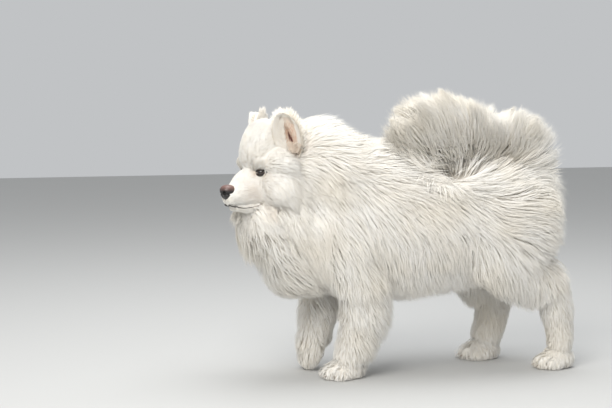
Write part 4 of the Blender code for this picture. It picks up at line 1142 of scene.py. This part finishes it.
# Materials
def fill(node, values):
    # each socket takes a number, the name of a colour or what another node gives
    for title, value in values.items():
        if isinstance(value, bpy.types.NodeSocket):
            node.id_data.links.new(value, node.inputs[title])
        else:
            node.inputs[title].default_value = (*colours[value], 1) if isinstance(value, str) else value


def newMaterial(name, colour, roughness):
    material = bpy.data.materials.new(name)
    material.use_nodes = True
    material.diffuse_color = (*colours[colour], 1)
    shader = material.node_tree.nodes["Principled BSDF"]
    fill(shader, {"Base Color": colour, "Roughness": roughness})
    return material, shader


def addNode(shader, kind, output, values):
    made = shader.id_data.nodes.new("ShaderNode" + kind)
    fill(made, values)
    return made.outputs[output]


def objectNoise(shader, scale, detail=3.0, stretch=None):
    source = addNode(shader, "TexCoord", "Object", {})
    if stretch is not None:
        source = addNode(shader, "Mapping", "Vector", {"Vector": source, "Scale": stretch})
    return addNode(shader, "TexNoise", "Fac", {"Vector": source, "Scale": scale, "Detail": detail})


def mixColours(shader, factor, a, b):
    mix = shader.id_data.nodes.new("ShaderNodeMix")
    mix.data_type = "RGBA"
    fill(mix, {"Factor": factor, "A": a, "B": b})
    return mix.outputs["Result"]


def ramp(shader, source, *stops):
    made = shader.id_data.nodes.new("ShaderNodeValToRGB")
    elements = made.color_ramp.elements
    for element, (position, colour) in zip(elements, (stops[0], stops[-1])):
        element.position, element.color = position, (*colours[colour], 1)
    for position, colour in stops[1:-1]:
        elements.new(position).color = (*colours[colour], 1)
    fill(made, {"Fac": source})
    return made.outputs["Color"]


def attribute(shader, name):
    made = shader.id_data.nodes.new("ShaderNodeAttribute")
    made.attribute_name = name
    return made.outputs["Fac"]


def bump(shader, height, strength, distance):
    fill(shader, {"Normal": addNode(shader, "Bump", "Normal",
                                    {"Height": height, "Strength": strength, "Distance": distance})})


colours = {
    "white": (0.95, 0.932, 0.895),
    "cream": (0.92, 0.875, 0.79),
    # painted shade: the beige that the hair takes on towards its roots stands in for the shade down between the locks
    "root": (0.90, 0.84, 0.74),
    "tan": (0.66, 0.46, 0.29),
    "skin": (0.88, 0.83, 0.75),
    "earSkin": (0.66, 0.45, 0.34),
    # painted shade inside the fold of the ear's mouth
    "earFoldShade": (0.10, 0.030, 0.025),
    "earFur": (0.90, 0.85, 0.77),
    "rim": (0.016, 0.012, 0.011),
    "iris": (0.022, 0.010, 0.006),
    "nose": (0.014, 0.011, 0.011),
    # the top of the nose: partly faded pigment, partly a painted highlight
    "noseTopFadedLit": (0.17, 0.085, 0.070),
    "lip": (0.018, 0.013, 0.012),
    "lipCorner": (0.30, 0.17, 0.14),
    "claw": (0.34, 0.28, 0.23),
    "clawTip": (0.55, 0.47, 0.40),
    "earPink": (0.74, 0.56, 0.44),
    # painted shade deep in the nostrils
    "pit": (0.004, 0.003, 0.003),
    "black": (0, 0, 0),
    "strong": (0.8, 0.8, 0.8),
    "full": (1, 1, 1),
    "pupil": (0.003, 0.002, 0.002),
    "irisOuter": (0.040, 0.018, 0.010),
    "irisEdge": (0.008, 0.006, 0.005),
    "eyeWhite": (0.10, 0.075, 0.065),
    "floor": (0.55, 0.55, 0.54),
    "world": (0.86, 0.88, 0.90),
}


def coatMaterial():
    material, shader = newMaterial("whiteCoat", "white", 0.60)
    tone = ramp(shader, objectNoise(shader, 8.0, 2.0), (0.42, "white"), (0.72, "cream"))
    lock = ramp(shader, attribute(shader, "tone"), (0.30, "black"), (1.0, "strong"))
    locks = mixColours(shader, lock, tone, "cream")
    # painted shade: towards its root each hair turns to the root colour, for the shade between the locks
    depth = ramp(shader, attribute(shader, "along"), (0.05, "full"), (0.55, "black"))
    rootShaded = mixColours(shader, depth, locks, "root")
    fill(shader, {"Base Color": mixColours(shader, attribute(shader, "tan"), rootShaded, "tan"),
                  "Sheen Weight": 0.20, "Sheen Roughness": 0.5, "Specular IOR Level": 0.22})
    return material


def skinMaterial():
    material, shader = newMaterial("coatedSkin", "skin", 0.75)
    tone = mixColours(shader, objectNoise(shader, 30.0), "white", "skin")
    tanned = mixColours(shader, attribute(shader, "tan"), tone, "tan")
    fill(shader, {"Base Color": mixColours(shader, attribute(shader, "dark"), tanned, "rim")})
    bump(shader, objectNoise(shader, 700.0, 2.0), 0.35, 0.001)
    return material


def earMaterial():
    material, shader = newMaterial("earSkin", "earSkin", 0.65)
    inner = mixColours(shader, objectNoise(shader, 60.0), "earSkin", "earPink")
    pink = mixColours(shader, attribute(shader, "within"), "earFur", inner)
    # painted shade: the fold running up from the ear's mouth is coloured almost black
    slit = ramp(shader, attribute(shader, "slit"), (0.45, "black"), (0.80, "full"))
    fill(shader, {"Base Color": mixColours(shader, slit, pink, "earFoldShade")})
    bump(shader, objectNoise(shader, 500.0), 0.3, 0.0006)
    return material


def lidMaterial():
    material, shader = newMaterial("eyeRim", "rim", 0.42)
    fill(shader, {"Base Color": mixColours(shader, attribute(shader, "dark"), "skin", "rim")})
    bump(shader, objectNoise(shader, 900.0), 0.25, 0.0004)
    return material


def eyeMaterial():
    material, shader = newMaterial("darkEye", "iris", 0.06)
    # by the angle from the middle of the gaze
    tone = ramp(shader, attribute(shader, "gaze"), (0.26, "pupil"), (0.32, "iris"), (0.58, "irisOuter"),
                (0.70, "irisEdge"), (0.95, "eyeWhite"))
    fill(shader, {"Base Color": tone, "Coat Weight": 1.0, "Coat Roughness": 0.03})
    return material


def noseMaterial():
    material, shader = newMaterial("noseLeather", "nose", 0.36)
    # the upper part of the nose turns brownish-pink: partly faded pigment, partly a painted highlight where the top
    # faces the light
    high = ramp(shader, attribute(shader, "top"), (0.55, "black"), (0.85, "full"))
    tone = mixColours(shader, high, "nose", "noseTopFadedLit")
    # painted shade: the nostrils' hollows are coloured darker than the leather, by their depth
    fill(shader, {"Base Color": mixColours(shader, attribute(shader, "pit"), tone, "pit"),
                  "Coat Weight": 0.35, "Coat Roughness": 0.25})
    where = addNode(shader, "TexCoord", "Object", {})
    bump(shader, addNode(shader, "TexVoronoi", "Distance", {"Vector": where, "Scale": 900.0}), 0.5, 0.0005)
    return material


def lipMaterial():
    material, shader = newMaterial("lipSkin", "lip", 0.40)
    fill(shader, {"Base Color": mixColours(shader, attribute(shader, "corner"), "lip", "lipCorner")})
    bump(shader, objectNoise(shader, 700.0), 0.3, 0.0004)
    return material


def clawMaterial():
    material, shader = newMaterial("clawHorn", "claw", 0.35)
    grain = objectNoise(shader, 200.0, 2.0, (0.3, 1, 1))
    fill(shader, {"Base Color": mixColours(shader, grain, "claw", "clawTip")})
    return material


def dress(piece, material):
    piece.data.materials.clear()
    piece.data.materials.append(material)
    piece.data.transform(Matrix.Translation(place))
    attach(piece, "root")


for pieces, material, slotName in (
        ([skin], skinMaterial(), "white_coat"), (coatPieces, coatMaterial(), "white_coat"),
        (ears, earMaterial(), "ear_coat"), ([lids], lidMaterial(), "dark_eye"), (eyes, eyeMaterial(), "dark_eye"),
        ([noseLeather], noseMaterial(), "nose_leather"), ([lips], lipMaterial(), "nose_leather"),
        ([claws], clawMaterial(), "nose_leather")):
    for piece in pieces:
        dress(piece, material)
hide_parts("head", "neck", "torso", "tail_base", "tail_middle", "tail_tip", "left_fore_leg",
            "left_fore_paw", "right_fore_leg", "right_fore_paw", "left_hind_leg", "left_hind_paw",
            "right_hind_leg", "right_hind_paw")
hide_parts("left_ear")
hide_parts("right_ear")
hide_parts("left_eye")
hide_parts("right_eye")
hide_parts("nose")
print("dressed")

# Floor, light and camera
studio = {
    "worldStrength": 0.62,
    # name, place, target, size, power, colour
    "lights": (("key", (-1.5, -2.0, 2.4), (0.0, 0.0, 0.35), 1.8, 74, (1.0, 0.98, 0.94)),
               ("sky", (0.2, 0.3, 3.0), (0.0, 0.0, 0.3), 2.4, 62, (0.98, 0.99, 1.0))),
    # the photo's own viewpoint: a little ahead of the side, and looking down a little
    "eyePoint": (-1.0120, -3.4794, 0.75),
    "yaw": math.radians(15),
    "pitch": math.radians(5.17),
    "lens": 87.06,
}


def makeStage():
    bpy.ops.mesh.primitive_plane_add(size=14, location=(0, 0, 0))
    floor = active()
    floor.name = "floor"
    floor.data.materials.append(newMaterial("paleFloor", "floor", 0.9)[0])
    world = bpy.data.worlds.new("studio")
    bpy.context.scene.world = world
    world.use_nodes = True
    fill(world.node_tree.nodes["Background"], {"Color": "world", "Strength": studio["worldStrength"]})


def makeLight(name, spot, target, size, power, colour):
    lamp = bpy.data.lights.new(name, "AREA")
    lamp.shape = "SQUARE"
    lamp.size = size
    lamp.energy = power
    lamp.color = colour
    made = addObject(name, lamp)
    made.location = spot
    made.rotation_euler = (Vector(target) - Vector(spot)).to_track_quat("-Z", "Y").to_euler()


def makeCamera():
    yaw, pitch = studio["yaw"], studio["pitch"]
    look = Vector((math.sin(yaw) * math.cos(pitch), math.cos(yaw) * math.cos(pitch), -math.sin(pitch)))
    optics = bpy.data.cameras.new("camera")
    optics.sensor_width = 36
    optics.lens = studio["lens"]
    made = addObject("camera", optics)
    made.location = Vector(studio["eyePoint"]) + place
    made.rotation_euler = look.to_track_quat("-Z", "Y").to_euler()
    bpy.context.scene.camera = made


makeStage()
for light in studio["lights"]:
    makeLight(*light)
makeCamera()
bpy.context.scene.view_settings.view_transform = "Standard"
print("stage set")
